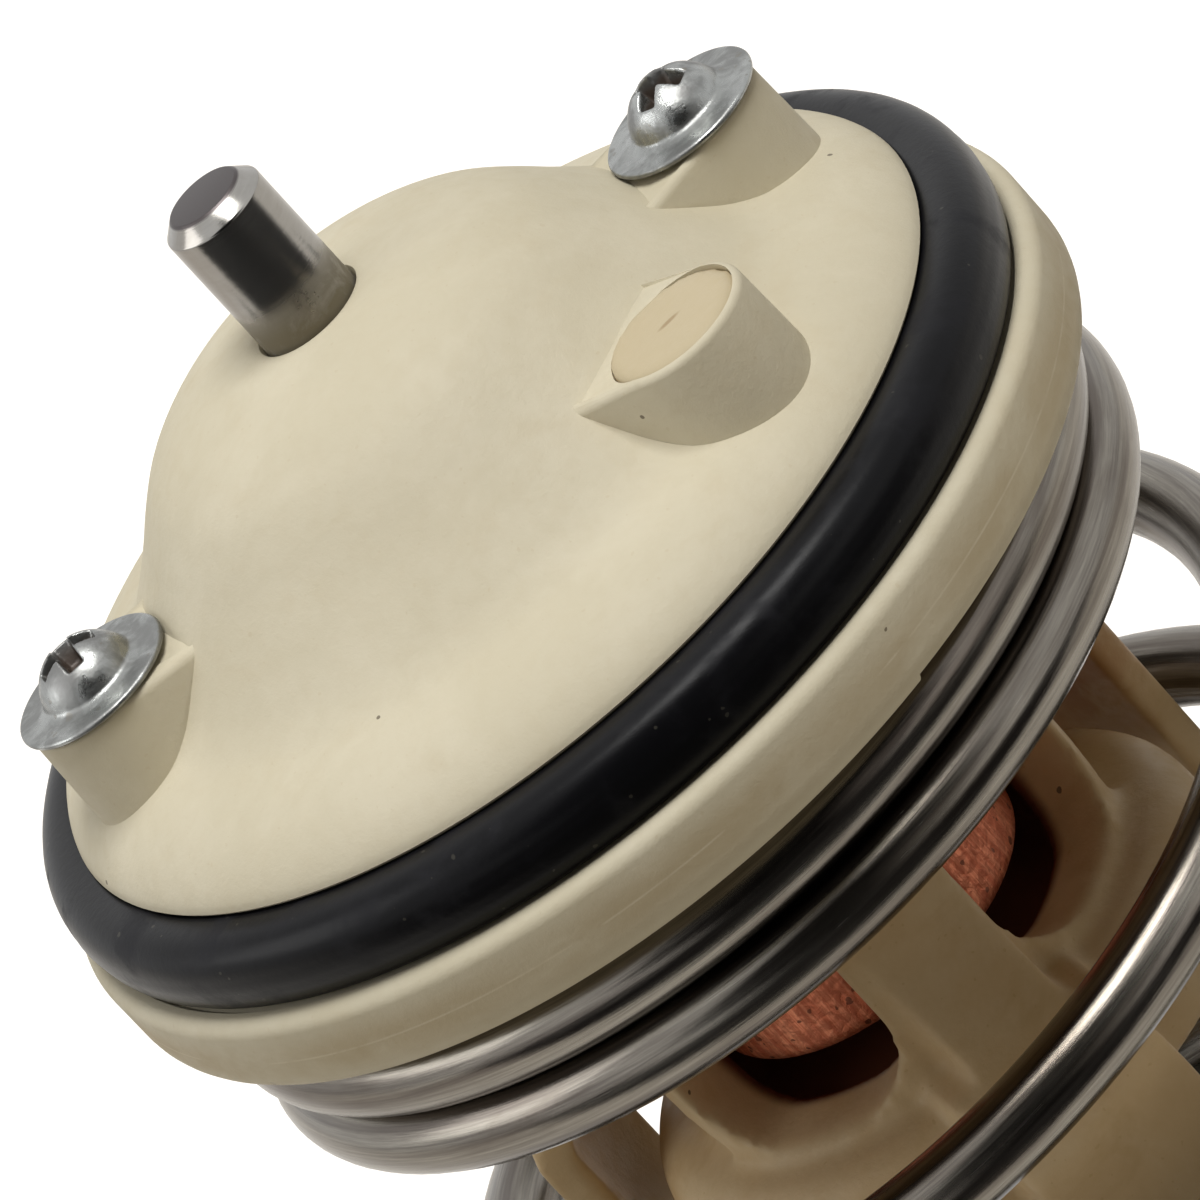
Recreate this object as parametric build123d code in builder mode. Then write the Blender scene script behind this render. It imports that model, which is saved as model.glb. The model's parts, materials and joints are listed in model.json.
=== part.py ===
from build123d import *
import math
import os

os.makedirs("parts", exist_ok=True)

# Wax thermostat insert for an engine's coolant bore. All lengths are in millimetres.
# +Z runs up the piston axis and Z = 0 is the plane its three feet stand on.
# +X points through the first cap screw.

# ---- heights, counted from the underside of the cap's lip ----
lip_z = 75.0
groove_width = 4.92
flange_thickness = 4.98
groove_low_z = lip_z - groove_width
flange_low_z = groove_low_z - flange_thickness

# ---- cap ----
flange_radius = 31.83
flange_round_top = 1.2
flange_round_low = 1.7
groove_floor_radius = 26.6
lip_radius = 28.1
lip_round = 2.4
lip_height = 3.25
dome_height = 15.2
dome_foot_radius = 23.6
# dome and hollow profiles: shares of the foot radius and of the dome height
dome_shape = ((0.333, 0.963), (0.525, 0.855), (0.665, 0.635), (0.754, 0.482), (0.83, 0.356), (0.915, 0.25))
hollow_shape = ((0.636, 0.45), (0.703, 0.33), (0.771, 0.19), (0.856, 0.04), (0.99, 0.016))
socket_radius = 12.8
boss_circle_radius = 21.2
boss_radius = 4.36
boss_height = 8.5
boss_draft = 2.5
boss_run = 9.0               # how far a boss runs inward into the dome
boss_foot = 0.8              # how far it is sunk below the lip's top
pillar_top = 2.2             # inner pillars end this far above the lip's underside
screw_angles = (0.0, 180.0)
peg_angle = -55.5
peg_radius = 3.85
peg_hole_gap = 0.15
peg_recess = 0.1
peg_pillar_wall = 1.4
recess_start_angle = -74.5
recess_sweep = 75.5
recess_step = 0.8

# ---- O-ring ----
o_ring_section = 4.5

# ---- cage ----
tube_radius = 13.5
tube_bore_radius = 10.4
top_plate_radius = 24.3
top_plate_thickness = 3.5
shoulder_radius = 18.0
shoulder_drop = 34.8           # lip to the shoulder's flat top
shoulder_round = 3.1
shoulder_low_drop = 42.5
shoulder_wall = 2.8
floor_drop = 36.4              # lip to the floor under the capsule
floor_thickness = 2.4
window_angles = (-135.0, -45.0, 94.5)
window_width = 13.9
window_top_drop = 17.0
window_corner = 3.5
window_reach = 15.8
window_inner_reach = 4.0
pillar_radius = 2.9
pillar_low_drop = 20.5
near_leg_angle = -88.0
rear_leg_angles = (34.5, 154.5)
strut_width = 6.5
strut_radius = 14.5
# outline of the near leg's buttress: drop from the lip and radius
buttress_shape = ((28.0, 15.2), (33.0, 17.5), (37.0, 20.5))
buttress_low_drop = 41.0
leg_width = 10.5
leg_outer_radius = 22.5
leg_wall = 2.25
arm_top_drop = 28.5
arm_round = 4.7
barb_reach = 2.0
barb_height = 3.25
barb_land = 0.8
barb_lead = 0.3

# ---- wax capsule ----
cup_radius = 9.8
cup_wall = 0.8
cup_low_drop = 32.6
cup_corner = 1.5
collar_radius = 12.4
collar_height = 4.0
crimp_radius = 10.6
crimp_thickness = 0.7
boot_radius = 5.0
boot_flange_thickness = 1.0
boot_low_drop = 30.0
boot_end_wall = 1.5
guide_neck_radius = 5.4
guide_neck_top = 8.0
neck_gap = 0.3
hub_radius = 8.2
core_radius = 10.4
core_top = 9.5
backing_radius = 8.0
backing_thickness = 0.5
wiper_radius = 4.6
wiper_height = 2.5
fill_gap = 0.05

# ---- piston ----
piston_radius = 3.0
piston_gap = 0.05
cap_bore_gap = 0.08
piston_top = 23.9
piston_low_drop = 28.4
piston_chamfer = 0.8

# ---- cap screws ----
shank_radius = 2.0
shank_gap = 0.3
pilot_gap = 0.02
screw_length = 27.5
screw_point_step = 0.7
screw_point_length = 1.2
washer_radius = 4.7
washer_thickness = 0.4
washer_edge = 0.15
washer_gap = 0.3
head_radius = 2.9
head_height = 2.4
cross_reach = 2.0
cross_width = 1.0
cross_depth = 1.7
cross_angles = (41.5, -3.5)

# ---- main spring ----
wire_radius = 2.225
coil_clearance = 0.505       # wire to the seat's collar, and to the recess's inner wall
closed_pitch = 4.52
steep_pitch = 15.0
end_gap = 0.05
spring_near_angle = -93.5
spring_start_turn = -0.25
turn_closed_end = 1.2
turn_right_side = 1.75
right_side_drop = 29.4
turn_second_open = 2.0
second_open_drop = 32.9
turn_closing = 3.85
turn_closed_again = 4.2
spring_end_turn = 5.0
points_per_turn = 12

# ---- spring seat ----
seat_gap = 0.3
seat_thickness = 2.0
seat_outer_radius = 31.0
seat_collar_wall = 1.8
seat_collar_height = 3.6
seat_relief = 0.6
seat_relief_gap = 0.7


# ---- radii that follow one another outward from the legs ----
seat_inner_radius = leg_outer_radius + seat_gap
seat_collar_radius = seat_inner_radius + seat_collar_wall
coil_radius = seat_collar_radius + coil_clearance + wire_radius
recess_inner_radius = coil_radius - wire_radius - coil_clearance


def radial(angle):
    """Plane through the axis: local x points outward at the angle, local y is up."""
    a = math.radians(angle)
    return Plane(origin=(0, 0, 0), x_dir=(math.cos(a), math.sin(a), 0), z_dir=(math.sin(a), -math.cos(a), 0))


def facing(angle, reach):
    """Plane square to the outward direction at the angle, at a distance from the axis."""
    a = math.radians(angle)
    c = math.cos(a)
    s = math.sin(a)
    return Plane(origin=(c * reach, s * reach, 0), x_dir=(-s, c, 0), z_dir=(c, s, 0))


def polar(radius, angle):
    """Point on a circle about the axis."""
    a = math.radians(angle)
    return (radius * math.cos(a), radius * math.sin(a))


# ================= cap =================
cap_bore_radius = piston_radius + cap_bore_gap
socket_roof_z = flange_low_z + collar_height
dome_outline = (
    (cap_bore_radius, lip_z + dome_height),
    *((r * dome_foot_radius, lip_z + h * dome_height) for r, h in dome_shape),
    (dome_foot_radius, lip_z + lip_height),
)
hollow_outline = tuple((r * dome_foot_radius, lip_z + h * dome_height) for r, h in hollow_shape)
lip_arc_r = lip_radius - lip_round
lip_arc_z = lip_z + lip_height - lip_round
with BuildPart() as cap:
    with BuildSketch(Plane.XZ):
        with BuildLine():
            Spline(*dome_outline, tangents=((1, 0), (1, 0)))
            Line((dome_foot_radius, lip_z + lip_height), (lip_arc_r, lip_z + lip_height))
            RadiusArc((lip_arc_r, lip_z + lip_height), (lip_radius, lip_arc_z), lip_round)
            Polyline(
                (lip_radius, lip_arc_z),
                (lip_radius, lip_z),
                (groove_floor_radius, lip_z),
                (groove_floor_radius, groove_low_z),
                (flange_radius - flange_round_top, groove_low_z),
            )
            RadiusArc(
                (flange_radius - flange_round_top, groove_low_z),
                (flange_radius, groove_low_z - flange_round_top),
                flange_round_top,
            )
            Line((flange_radius, groove_low_z - flange_round_top), (flange_radius, flange_low_z + flange_round_low))
            RadiusArc(
                (flange_radius, flange_low_z + flange_round_low),
                (flange_radius - flange_round_low, flange_low_z),
                flange_round_low,
            )
            Polyline(
                (flange_radius - flange_round_low, flange_low_z),
                (cap_bore_radius, flange_low_z),
                (cap_bore_radius, lip_z + dome_height),
            )
        make_face()
    revolve(axis=Axis.Z)
    # three raised bosses that run inward until the dome buries them
    for boss_angle in (screw_angles[0], screw_angles[1], peg_angle):
        with BuildSketch(Plane.XY.offset(lip_z + boss_height).rotated((0, 0, boss_angle))):
            with Locations((boss_circle_radius, 0)):
                Circle(boss_radius)
            with Locations((boss_circle_radius - boss_run / 2, 0)):
                Rectangle(boss_run, 2 * boss_radius)
        extrude(amount=-(boss_height - lip_height + boss_foot), taper=-boss_draft)
    # hollow underside of the moulding
    with BuildSketch(Plane.XZ):
        with BuildLine():
            Polyline(
                (hollow_outline[0][0], flange_low_z),
                *hollow_outline,
                (hollow_outline[-1][0], flange_low_z),
                close=True,
            )
        make_face()
    revolve(axis=Axis.Z, mode=Mode.SUBTRACT)
    # pillars that carry the screws and the peg down to the cage
    with BuildSketch(Plane.XY.offset(flange_low_z)):
        with Locations(polar(boss_circle_radius, screw_angles[0]), polar(boss_circle_radius, screw_angles[1])):
            Circle(boss_radius)
        with Locations(polar(boss_circle_radius, peg_angle)):
            Circle(peg_radius + peg_pillar_wall)
    extrude(amount=lip_z + pillar_top - flange_low_z)
    # socket for the capsule's collar, bore for the guide's neck, ring-shaped core
    with BuildSketch(Plane.XY.offset(flange_low_z)):
        Circle(socket_radius)
    extrude(amount=socket_roof_z - flange_low_z, mode=Mode.SUBTRACT)
    with BuildSketch(Plane.XY.offset(socket_roof_z)):
        Circle(guide_neck_radius + neck_gap)
    extrude(amount=lip_z + guide_neck_top + neck_gap - socket_roof_z, mode=Mode.SUBTRACT)
    with BuildSketch(Plane.XY.offset(socket_roof_z)):
        Circle(core_radius)
        Circle(hub_radius, mode=Mode.SUBTRACT)
    extrude(amount=lip_z + core_top - socket_roof_z, mode=Mode.SUBTRACT)
    # spot faces that let the screw washers clear the dome
    with BuildSketch(Plane.XY.offset(lip_z + boss_height)):
        with Locations(polar(boss_circle_radius, screw_angles[0]), polar(boss_circle_radius, screw_angles[1])):
            Circle(washer_radius + washer_gap)
    extrude(amount=dome_height, mode=Mode.SUBTRACT)
    # screw holes and the hole for the cage's peg
    with BuildSketch(Plane.XY.offset(lip_z + boss_height)):
        with Locations(polar(boss_circle_radius, screw_angles[0]), polar(boss_circle_radius, screw_angles[1])):
            Circle(shank_radius + shank_gap)
        with Locations(polar(boss_circle_radius, peg_angle)):
            Circle(peg_radius + peg_hole_gap)
    extrude(amount=flange_low_z - lip_z - boss_height, mode=Mode.SUBTRACT)
    # stepped recess that takes the first quarter turn of the coil
    with BuildSketch(radial(recess_start_angle)):
        Polygon(
            (recess_inner_radius, flange_low_z - 1),
            (flange_radius + 1, flange_low_z - 1),
            (flange_radius + 1, flange_low_z + recess_step),
            (recess_inner_radius, flange_low_z + recess_step),
            align=None,
        )
    revolve(axis=Axis.Z, revolution_arc=recess_sweep, mode=Mode.SUBTRACT)
cap.part.label = "cap"
export_step(cap.part, "parts/cap.step")

# ================= O-ring =================
o_ring_radius = groove_floor_radius + o_ring_section / 2
with BuildPart() as o_ring:
    with BuildSketch(Plane.XZ):
        with Locations((o_ring_radius, lip_z - groove_width / 2)):
            Circle(o_ring_section / 2)
    revolve(axis=Axis.Z)
o_ring.part.label = "o_ring"
export_step(o_ring.part, "parts/o_ring.step")

# ================= cage =================
shoulder_z = lip_z - shoulder_drop
shoulder_low_z = lip_z - shoulder_low_drop
floor_z = lip_z - floor_drop
plate_low_z = flange_low_z - top_plate_thickness
leg_inner_radius = leg_outer_radius - leg_wall
arm_top_z = lip_z - arm_top_drop
arm_bend_r = leg_outer_radius - arm_round
arm_bend_z = arm_top_z - arm_round
arm_root_radius = (tube_radius + tube_bore_radius) / 2
strut_top_z = plate_low_z + top_plate_thickness / 2
barb_outline = (
    (leg_outer_radius, barb_height),
    (leg_outer_radius + barb_reach, barb_height),
    (leg_outer_radius + barb_reach, barb_height - barb_land),
    (leg_outer_radius + barb_lead, 0),
    (leg_inner_radius, 0),
)

# two rear arms, turned as a bell and then cut to parallel-sided legs
with BuildPart() as rear_legs:
    with BuildSketch(Plane.XZ):
        with BuildLine():
            Line((arm_root_radius, arm_top_z), (arm_bend_r, arm_top_z))
            RadiusArc((arm_bend_r, arm_top_z), (leg_outer_radius, arm_bend_z), arm_round)
            Polyline(
                (leg_outer_radius, arm_bend_z),
                *barb_outline,
                (leg_inner_radius, arm_bend_z),
            )
            RadiusArc(
                (leg_inner_radius, arm_bend_z),
                (arm_bend_r, arm_top_z - leg_wall),
                -(arm_round - leg_wall),
            )
            Polyline(
                (arm_bend_r, arm_top_z - leg_wall),
                (arm_root_radius, arm_top_z - leg_wall),
                (arm_root_radius, arm_top_z),
            )
        make_face()
    revolve(axis=Axis.Z)
    with BuildSketch(Plane.XY):
        for leg_angle in rear_leg_angles:
            with Locations(Location((0, 0, 0), (0, 0, leg_angle))):
                Rectangle(2 * leg_outer_radius, leg_width, align=(Align.MIN, Align.CENTER))
    extrude(amount=lip_z, mode=Mode.INTERSECT)

# near leg and its buttress, turned and then cut to a narrow strut over a wide leg
web_radius = shoulder_radius - shoulder_wall / 2
web_top_z = floor_z - floor_thickness / 2
with BuildPart() as near_leg:
    with BuildSketch(Plane.XZ):
        with BuildLine():
            Line((arm_root_radius, strut_top_z), (strut_radius, strut_top_z))
            Spline(
                (strut_radius, strut_top_z),
                *((r, lip_z - drop) for drop, r in buttress_shape),
                (leg_outer_radius, lip_z - buttress_low_drop),
                tangents=((0, -1), (0, -1)),
            )
            Polyline(
                (leg_outer_radius, lip_z - buttress_low_drop),
                *barb_outline,
                (leg_inner_radius, shoulder_low_z),
                (web_radius, shoulder_low_z),
                (web_radius, web_top_z),
                (arm_root_radius, web_top_z),
                (arm_root_radius, strut_top_z),
            )
        make_face()
    revolve(axis=Axis.Z)
    with BuildSketch(facing(near_leg_angle, 0)):
        with Locations((0, shoulder_z)):
            Rectangle(strut_width, lip_z - shoulder_z, align=(Align.CENTER, Align.MIN))
            Rectangle(leg_width, shoulder_z, align=(Align.CENTER, Align.MAX))
    extrude(amount=2 * leg_outer_radius, mode=Mode.INTERSECT)

with BuildPart() as cage:
    # top plate, tube and shoulder, turned as one
    with BuildSketch(Plane.XZ):
        with BuildLine():
            Polyline(
                (tube_bore_radius, flange_low_z),
                (top_plate_radius, flange_low_z),
                (top_plate_radius, plate_low_z),
                (tube_radius, plate_low_z),
                (tube_radius, shoulder_z),
                (shoulder_radius - shoulder_round, shoulder_z),
            )
            RadiusArc(
                (shoulder_radius - shoulder_round, shoulder_z),
                (shoulder_radius, shoulder_z - shoulder_round),
                shoulder_round,
            )
            Polyline(
                (shoulder_radius, shoulder_z - shoulder_round),
                (shoulder_radius, shoulder_low_z),
                (shoulder_radius - shoulder_wall, shoulder_low_z),
                (shoulder_radius - shoulder_wall, floor_z - floor_thickness),
                (0, floor_z - floor_thickness),
                (0, floor_z),
                (tube_bore_radius, floor_z),
                (tube_bore_radius, flange_low_z),
            )
        make_face()
    revolve(axis=Axis.Z)
    add(rear_legs.part)
    add(near_leg.part)
    # coolant windows in the tube, their sills level with the shoulder
    window_height = shoulder_drop - window_top_drop
    for window_angle in window_angles:
        with BuildSketch(facing(window_angle, window_inner_reach)):
            with Locations((0, lip_z - (shoulder_drop + window_top_drop) / 2)):
                RectangleRounded(window_width, window_height, window_corner)
        extrude(amount=window_reach - window_inner_reach, mode=Mode.SUBTRACT)
    # screw pillars under the top plate, with pilot holes
    with BuildSketch(Plane.XY.offset(lip_z - pillar_low_drop)):
        with Locations(polar(boss_circle_radius, screw_angles[0]), polar(boss_circle_radius, screw_angles[1])):
            Circle(pillar_radius)
    extrude(amount=flange_low_z - lip_z + pillar_low_drop)
    with BuildSketch(Plane.XY.offset(lip_z - pillar_low_drop)):
        with Locations(polar(boss_circle_radius, screw_angles[0]), polar(boss_circle_radius, screw_angles[1])):
            Circle(shank_radius + pilot_gap)
    extrude(amount=flange_low_z - lip_z + pillar_low_drop, mode=Mode.SUBTRACT)
    # locating peg that shows in the third boss
    with BuildSketch(Plane.XY.offset(flange_low_z - 1)):
        with Locations(polar(boss_circle_radius, peg_angle)):
            Circle(peg_radius)
    extrude(amount=lip_z + boss_height - peg_recess - flange_low_z + 1)
    # the coil passes close round the plate, so the peg's foot is trimmed to the plate's edge
    with BuildSketch(Plane.XY.offset(flange_low_z - 1)):
        Circle(flange_radius)
        Circle(top_plate_radius, mode=Mode.SUBTRACT)
    extrude(amount=1 + recess_step, mode=Mode.SUBTRACT)
cage.part.label = "cage"
export_step(cage.part, "parts/cage.step")

# ================= wax capsule =================
collar_top_z = flange_low_z + collar_height
ledge_z = flange_low_z + cup_wall
cup_low_z = lip_z - cup_low_drop
cup_bore_radius = cup_radius - cup_wall
with BuildPart() as cup:
    with BuildSketch(Plane.XZ):
        with BuildLine():
            Line((0, cup_low_z), (cup_radius - cup_corner, cup_low_z))
            RadiusArc((cup_radius - cup_corner, cup_low_z), (cup_radius, cup_low_z + cup_corner), -cup_corner)
            Polyline(
                (cup_radius, cup_low_z + cup_corner),
                (cup_radius, flange_low_z),
                (collar_radius, flange_low_z),
                (collar_radius, collar_top_z),
                (crimp_radius, collar_top_z),
                (crimp_radius, collar_top_z - crimp_thickness),
                (collar_radius - cup_wall, collar_top_z - crimp_thickness),
                (collar_radius - cup_wall, ledge_z),
                (cup_bore_radius, ledge_z),
                (cup_bore_radius, cup_low_z + cup_wall),
                (0, cup_low_z + cup_wall),
                (0, cup_low_z),
            )
        make_face()
    revolve(axis=Axis.Z)
cup.part.label = "wax_cup"
export_step(cup.part, "parts/wax_cup.step")

boot_low_z = lip_z - boot_low_drop
boot_bore_radius = piston_radius + piston_gap
boot_top_z = ledge_z + boot_flange_thickness
flange_fit_radius = collar_radius - cup_wall - fill_gap
with BuildPart() as boot:
    with BuildSketch(Plane.XZ):
        with BuildLine():
            Polyline(
                (0, boot_low_z),
                (boot_radius, boot_low_z),
                (boot_radius, ledge_z),
                (flange_fit_radius, ledge_z),
                (flange_fit_radius, boot_top_z),
                (boot_bore_radius, boot_top_z),
                (boot_bore_radius, boot_low_z + boot_end_wall),
                (0, boot_low_z + boot_end_wall),
                close=True,
            )
        make_face()
    revolve(axis=Axis.Z)
boot.part.label = "rubber_boot"
export_step(boot.part, "parts/rubber_boot.step")

with BuildPart() as wax:
    with BuildSketch(Plane.XZ):
        with BuildLine():
            Polyline(
                (0, cup_low_z + cup_wall),
                (cup_bore_radius - fill_gap, cup_low_z + cup_wall),
                (cup_bore_radius - fill_gap, ledge_z),
                (boot_radius + fill_gap, ledge_z),
                (boot_radius + fill_gap, boot_low_z),
                (0, boot_low_z),
                close=True,
            )
        make_face()
    revolve(axis=Axis.Z)
wax.part.label = "wax_charge"
export_step(wax.part, "parts/wax_charge.step")

with BuildPart() as backing:
    with BuildSketch(Plane.XY.offset(boot_top_z)):
        Circle(backing_radius)
        Circle(boot_bore_radius, mode=Mode.SUBTRACT)
    extrude(amount=backing_thickness)
backing.part.label = "backing_washer"
export_step(backing.part, "parts/backing_washer.step")

neck_top_z = lip_z + guide_neck_top
with BuildPart() as guide:
    with BuildSketch(Plane.XZ):
        with BuildLine():
            Polyline(
                (boot_bore_radius, boot_top_z + backing_thickness),
                (backing_radius + fill_gap, boot_top_z + backing_thickness),
                (backing_radius + fill_gap, boot_top_z),
                (flange_fit_radius, boot_top_z),
                (flange_fit_radius, collar_top_z - crimp_thickness),
                (guide_neck_radius, collar_top_z - crimp_thickness),
                (guide_neck_radius, neck_top_z),
                (wiper_radius, neck_top_z),
                (wiper_radius, neck_top_z - wiper_height),
                (boot_bore_radius, neck_top_z - wiper_height),
                close=True,
            )
        make_face()
    revolve(axis=Axis.Z)
guide.part.label = "piston_guide"
export_step(guide.part, "parts/piston_guide.step")

with BuildPart() as wiper:
    with BuildSketch(Plane.XY.offset(neck_top_z - wiper_height)):
        Circle(wiper_radius - fill_gap)
        Circle(boot_bore_radius, mode=Mode.SUBTRACT)
    extrude(amount=wiper_height)
wiper.part.label = "piston_wiper"
export_step(wiper.part, "parts/piston_wiper.step")

# ================= piston =================
with BuildPart() as piston:
    with BuildSketch(Plane.XY.offset(lip_z - piston_low_drop)):
        Circle(piston_radius)
    extrude(amount=piston_top + piston_low_drop)
    chamfer(piston.edges().filter_by(GeomType.CIRCLE), piston_chamfer)
piston.part.label = "piston"
export_step(piston.part, "parts/piston.step")

# ================= cap screws =================
boss_z = lip_z + boss_height
head_low_z = boss_z + washer_thickness
head_sphere = (head_radius**2 + head_height**2) / (2 * head_height)
for number, screw_angle in enumerate(screw_angles, start=1):
    with BuildPart() as screw:
        with BuildSketch(Plane.XZ):
            with BuildLine():
                Line((0, head_low_z + head_height), (0, boss_z - screw_length))
                Polyline(
                    (0, boss_z - screw_length),
                    (shank_radius - screw_point_step, boss_z - screw_length),
                    (shank_radius, boss_z - screw_length + screw_point_length),
                    (shank_radius, boss_z),
                    (washer_radius, boss_z),
                    (washer_radius, head_low_z - washer_edge),
                    (washer_radius - washer_edge, head_low_z),
                    (head_radius, head_low_z),
                )
                RadiusArc((head_radius, head_low_z), (0, head_low_z + head_height), -head_sphere)
            make_face()
        revolve(axis=Axis.Z)
        # cross recess
        with BuildSketch(Plane.XY.offset(head_low_z + head_height - cross_depth)):
            Rectangle(2 * cross_reach, cross_width)
            Rectangle(cross_width, 2 * cross_reach)
        extrude(amount=cross_depth + 1, mode=Mode.SUBTRACT)
    place = polar(boss_circle_radius, screw_angle)
    placed = screw.part.moved(Location((place[0], place[1], 0), (0, 0, cross_angles[number - 1])))
    placed.label = f"cap_screw_{number}"
    export_step(placed, f"parts/cap_screw_{number}.step")

# ================= main spring =================
closed_start_z = flange_low_z + recess_step - end_gap - wire_radius
closed_end_z = closed_start_z - closed_pitch * (turn_closed_end - spring_start_turn)
spring_end_z = barb_height + seat_thickness + end_gap + wire_radius
closed_again_z = spring_end_z + closed_pitch * (spring_end_turn - turn_closed_again)
# the open coils share out the height that the closed ones leave
second_open_z = lip_z - second_open_drop
closing_half = (turn_closed_again - turn_closing) / 2
open_fall = second_open_z - closed_again_z - closed_pitch * closing_half
open_pitch = open_fall / (turn_closing - turn_second_open + closing_half)
closing_z = second_open_z - open_pitch * (turn_closing - turn_second_open)
coil_stations = (
    (spring_start_turn, closed_start_z, closed_pitch),
    (turn_closed_end, closed_end_z, closed_pitch),
    (turn_right_side, lip_z - right_side_drop, steep_pitch),
    (turn_second_open, second_open_z, open_pitch),
    (turn_closing, closing_z, open_pitch),
    (turn_closed_again, closed_again_z, closed_pitch),
    (spring_end_turn, spring_end_z, closed_pitch),
)


def coil_height(turn):
    """Height of the wire's centre: cubic between stations of turn, height and pitch."""
    for (t0, z0, p0), (t1, z1, p1) in zip(coil_stations, coil_stations[1:]):
        if turn <= t1 + 1e-9:
            break
    span = t1 - t0
    s = (turn - t0) / span
    rise0 = 2 * s**3 - 3 * s**2 + 1
    rise1 = 1 - rise0
    slope0 = (s**3 - 2 * s**2 + s) * span
    slope1 = (s**3 - s**2) * span
    return rise0 * z0 + rise1 * z1 - slope0 * p0 - slope1 * p1


coil_turns = spring_end_turn - spring_start_turn
coil_steps = round(coil_turns * points_per_turn)
coil_points = []
for step in range(coil_steps + 1):
    turn = spring_start_turn + coil_turns * step / coil_steps
    angle = math.radians(spring_near_angle - 360 * turn)
    coil_points.append((coil_radius * math.cos(angle), coil_radius * math.sin(angle), coil_height(turn)))
with BuildPart() as spring:
    with BuildLine() as coil:
        Spline(*coil_points)
    with BuildSketch(Plane(origin=coil.line @ 0, z_dir=coil.line % 0)):
        Circle(wire_radius)
    sweep(path=coil.line)
spring.part.label = "main_spring"
export_step(spring.part, "parts/main_spring.step")

# ================= spring seat =================
seat_relief_radius = leg_outer_radius + barb_reach + seat_relief_gap
seat_top_z = barb_height + seat_thickness
with BuildPart() as seat:
    with BuildSketch(Plane.XZ):
        Polygon(
            (seat_inner_radius, barb_height),
            (seat_relief_radius, barb_height),
            (seat_relief_radius, barb_height - seat_relief),
            (seat_outer_radius, barb_height - seat_relief),
            (seat_outer_radius, seat_top_z),
            (seat_collar_radius, seat_top_z),
            (seat_collar_radius, seat_top_z + seat_collar_height),
            (seat_inner_radius, seat_top_z + seat_collar_height),
            align=None,
        )
    revolve(axis=Axis.Z)
seat.part.label = "spring_seat"
export_step(seat.part, "parts/spring_seat.step")
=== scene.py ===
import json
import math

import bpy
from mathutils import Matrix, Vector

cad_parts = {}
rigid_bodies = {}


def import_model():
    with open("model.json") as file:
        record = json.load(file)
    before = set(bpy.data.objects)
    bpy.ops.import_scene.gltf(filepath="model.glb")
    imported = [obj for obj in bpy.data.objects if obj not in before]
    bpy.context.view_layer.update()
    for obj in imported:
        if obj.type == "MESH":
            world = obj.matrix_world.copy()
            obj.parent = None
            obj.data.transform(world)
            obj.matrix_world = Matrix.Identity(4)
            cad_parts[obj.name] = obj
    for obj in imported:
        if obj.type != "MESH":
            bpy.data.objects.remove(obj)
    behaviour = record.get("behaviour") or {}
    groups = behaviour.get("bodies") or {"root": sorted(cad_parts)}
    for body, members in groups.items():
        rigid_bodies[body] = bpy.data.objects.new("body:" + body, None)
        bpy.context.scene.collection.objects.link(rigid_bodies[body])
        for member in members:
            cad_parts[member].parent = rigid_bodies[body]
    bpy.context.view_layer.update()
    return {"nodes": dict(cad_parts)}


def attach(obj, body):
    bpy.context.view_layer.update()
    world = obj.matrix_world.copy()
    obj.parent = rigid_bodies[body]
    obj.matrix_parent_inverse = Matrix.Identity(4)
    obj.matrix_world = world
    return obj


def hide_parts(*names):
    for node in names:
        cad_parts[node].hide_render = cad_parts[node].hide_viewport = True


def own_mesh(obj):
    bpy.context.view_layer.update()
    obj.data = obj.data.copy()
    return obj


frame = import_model()

# %% [markdown]
# # Dressing a coolant thermostat insert
# The solids come in as a fixed frame, in metres, with the feet on Z = 0 and the piston up +Z.
# Sizes below are written in millimetres, because that is how the insert is drawn, and `MM`
# turns them into Blender's metres.

MM = 0.001
LIP_Z = 75.0
FLANGE_LOW_Z = 65.1

# %% [markdown]
# ## Small helpers
# Most pieces here are turned, as on a lathe. A circle primitive gives a closed ring of points.
# Each point is moved onto the piece's section, and Spin sweeps that section round the axis.
# Doubles are merged and the normals recalculated, because Spin can leave a shell inside out.

# %% Helpers: selection, places and round corners
def go(mode):
    """Changes between EDIT and OBJECT mode."""
    bpy.ops.object.mode_set(mode=mode)


def start_clean():
    """Leaves edit mode and selects nothing, so that an operator only meets the new piece."""
    if bpy.context.object and bpy.context.object.mode != "OBJECT":
        go("OBJECT")
    bpy.ops.object.select_all(action="DESELECT")


def take(piece):
    """Makes one piece the selected and active one."""
    start_clean()
    piece.select_set(True)
    bpy.context.view_layer.objects.active = piece
    return piece


def apply_place(piece):
    """Writes a piece's place, turn and scale into its mesh."""
    take(piece)
    bpy.ops.object.transform_apply(location=True, rotation=True, scale=True)
    return piece


def swung(piece, angle):
    """Turns a piece by degrees about the upright line through its origin."""
    piece.rotation_euler.z = math.radians(angle)
    return apply_place(piece)


def polar(radius, angle):
    """A place on a circle about the axis, in mm, with the angle in degrees."""
    a = math.radians(angle)
    return radius * math.cos(a), radius * math.sin(a)


def at(radius, angle, height=0):
    """A place in metres, from a radius and a height in mm and an angle in degrees."""
    return (*[c * MM for c in polar(radius, angle)], height * MM)


def corner(centre, radius, first, last, steps=6):
    """Points of a round corner, with angles in degrees from the outward direction."""
    points = []
    for step in range(steps + 1):
        angle = math.radians(first + (last - first) * step / steps)
        points.append((centre[0] + radius * math.cos(angle), centre[1] + radius * math.sin(angle)))
    return points


def rounded(radius, height, by, first, last, steps=6):
    """Points that round off a square corner. A negative rounding fills an inner corner."""
    middle = math.radians((first + last) / 2)
    out, rise = math.copysign(by, by * math.cos(middle)), math.copysign(by, by * math.sin(middle))
    return corner((radius - out, height - rise), by, first, last, steps)


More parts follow.
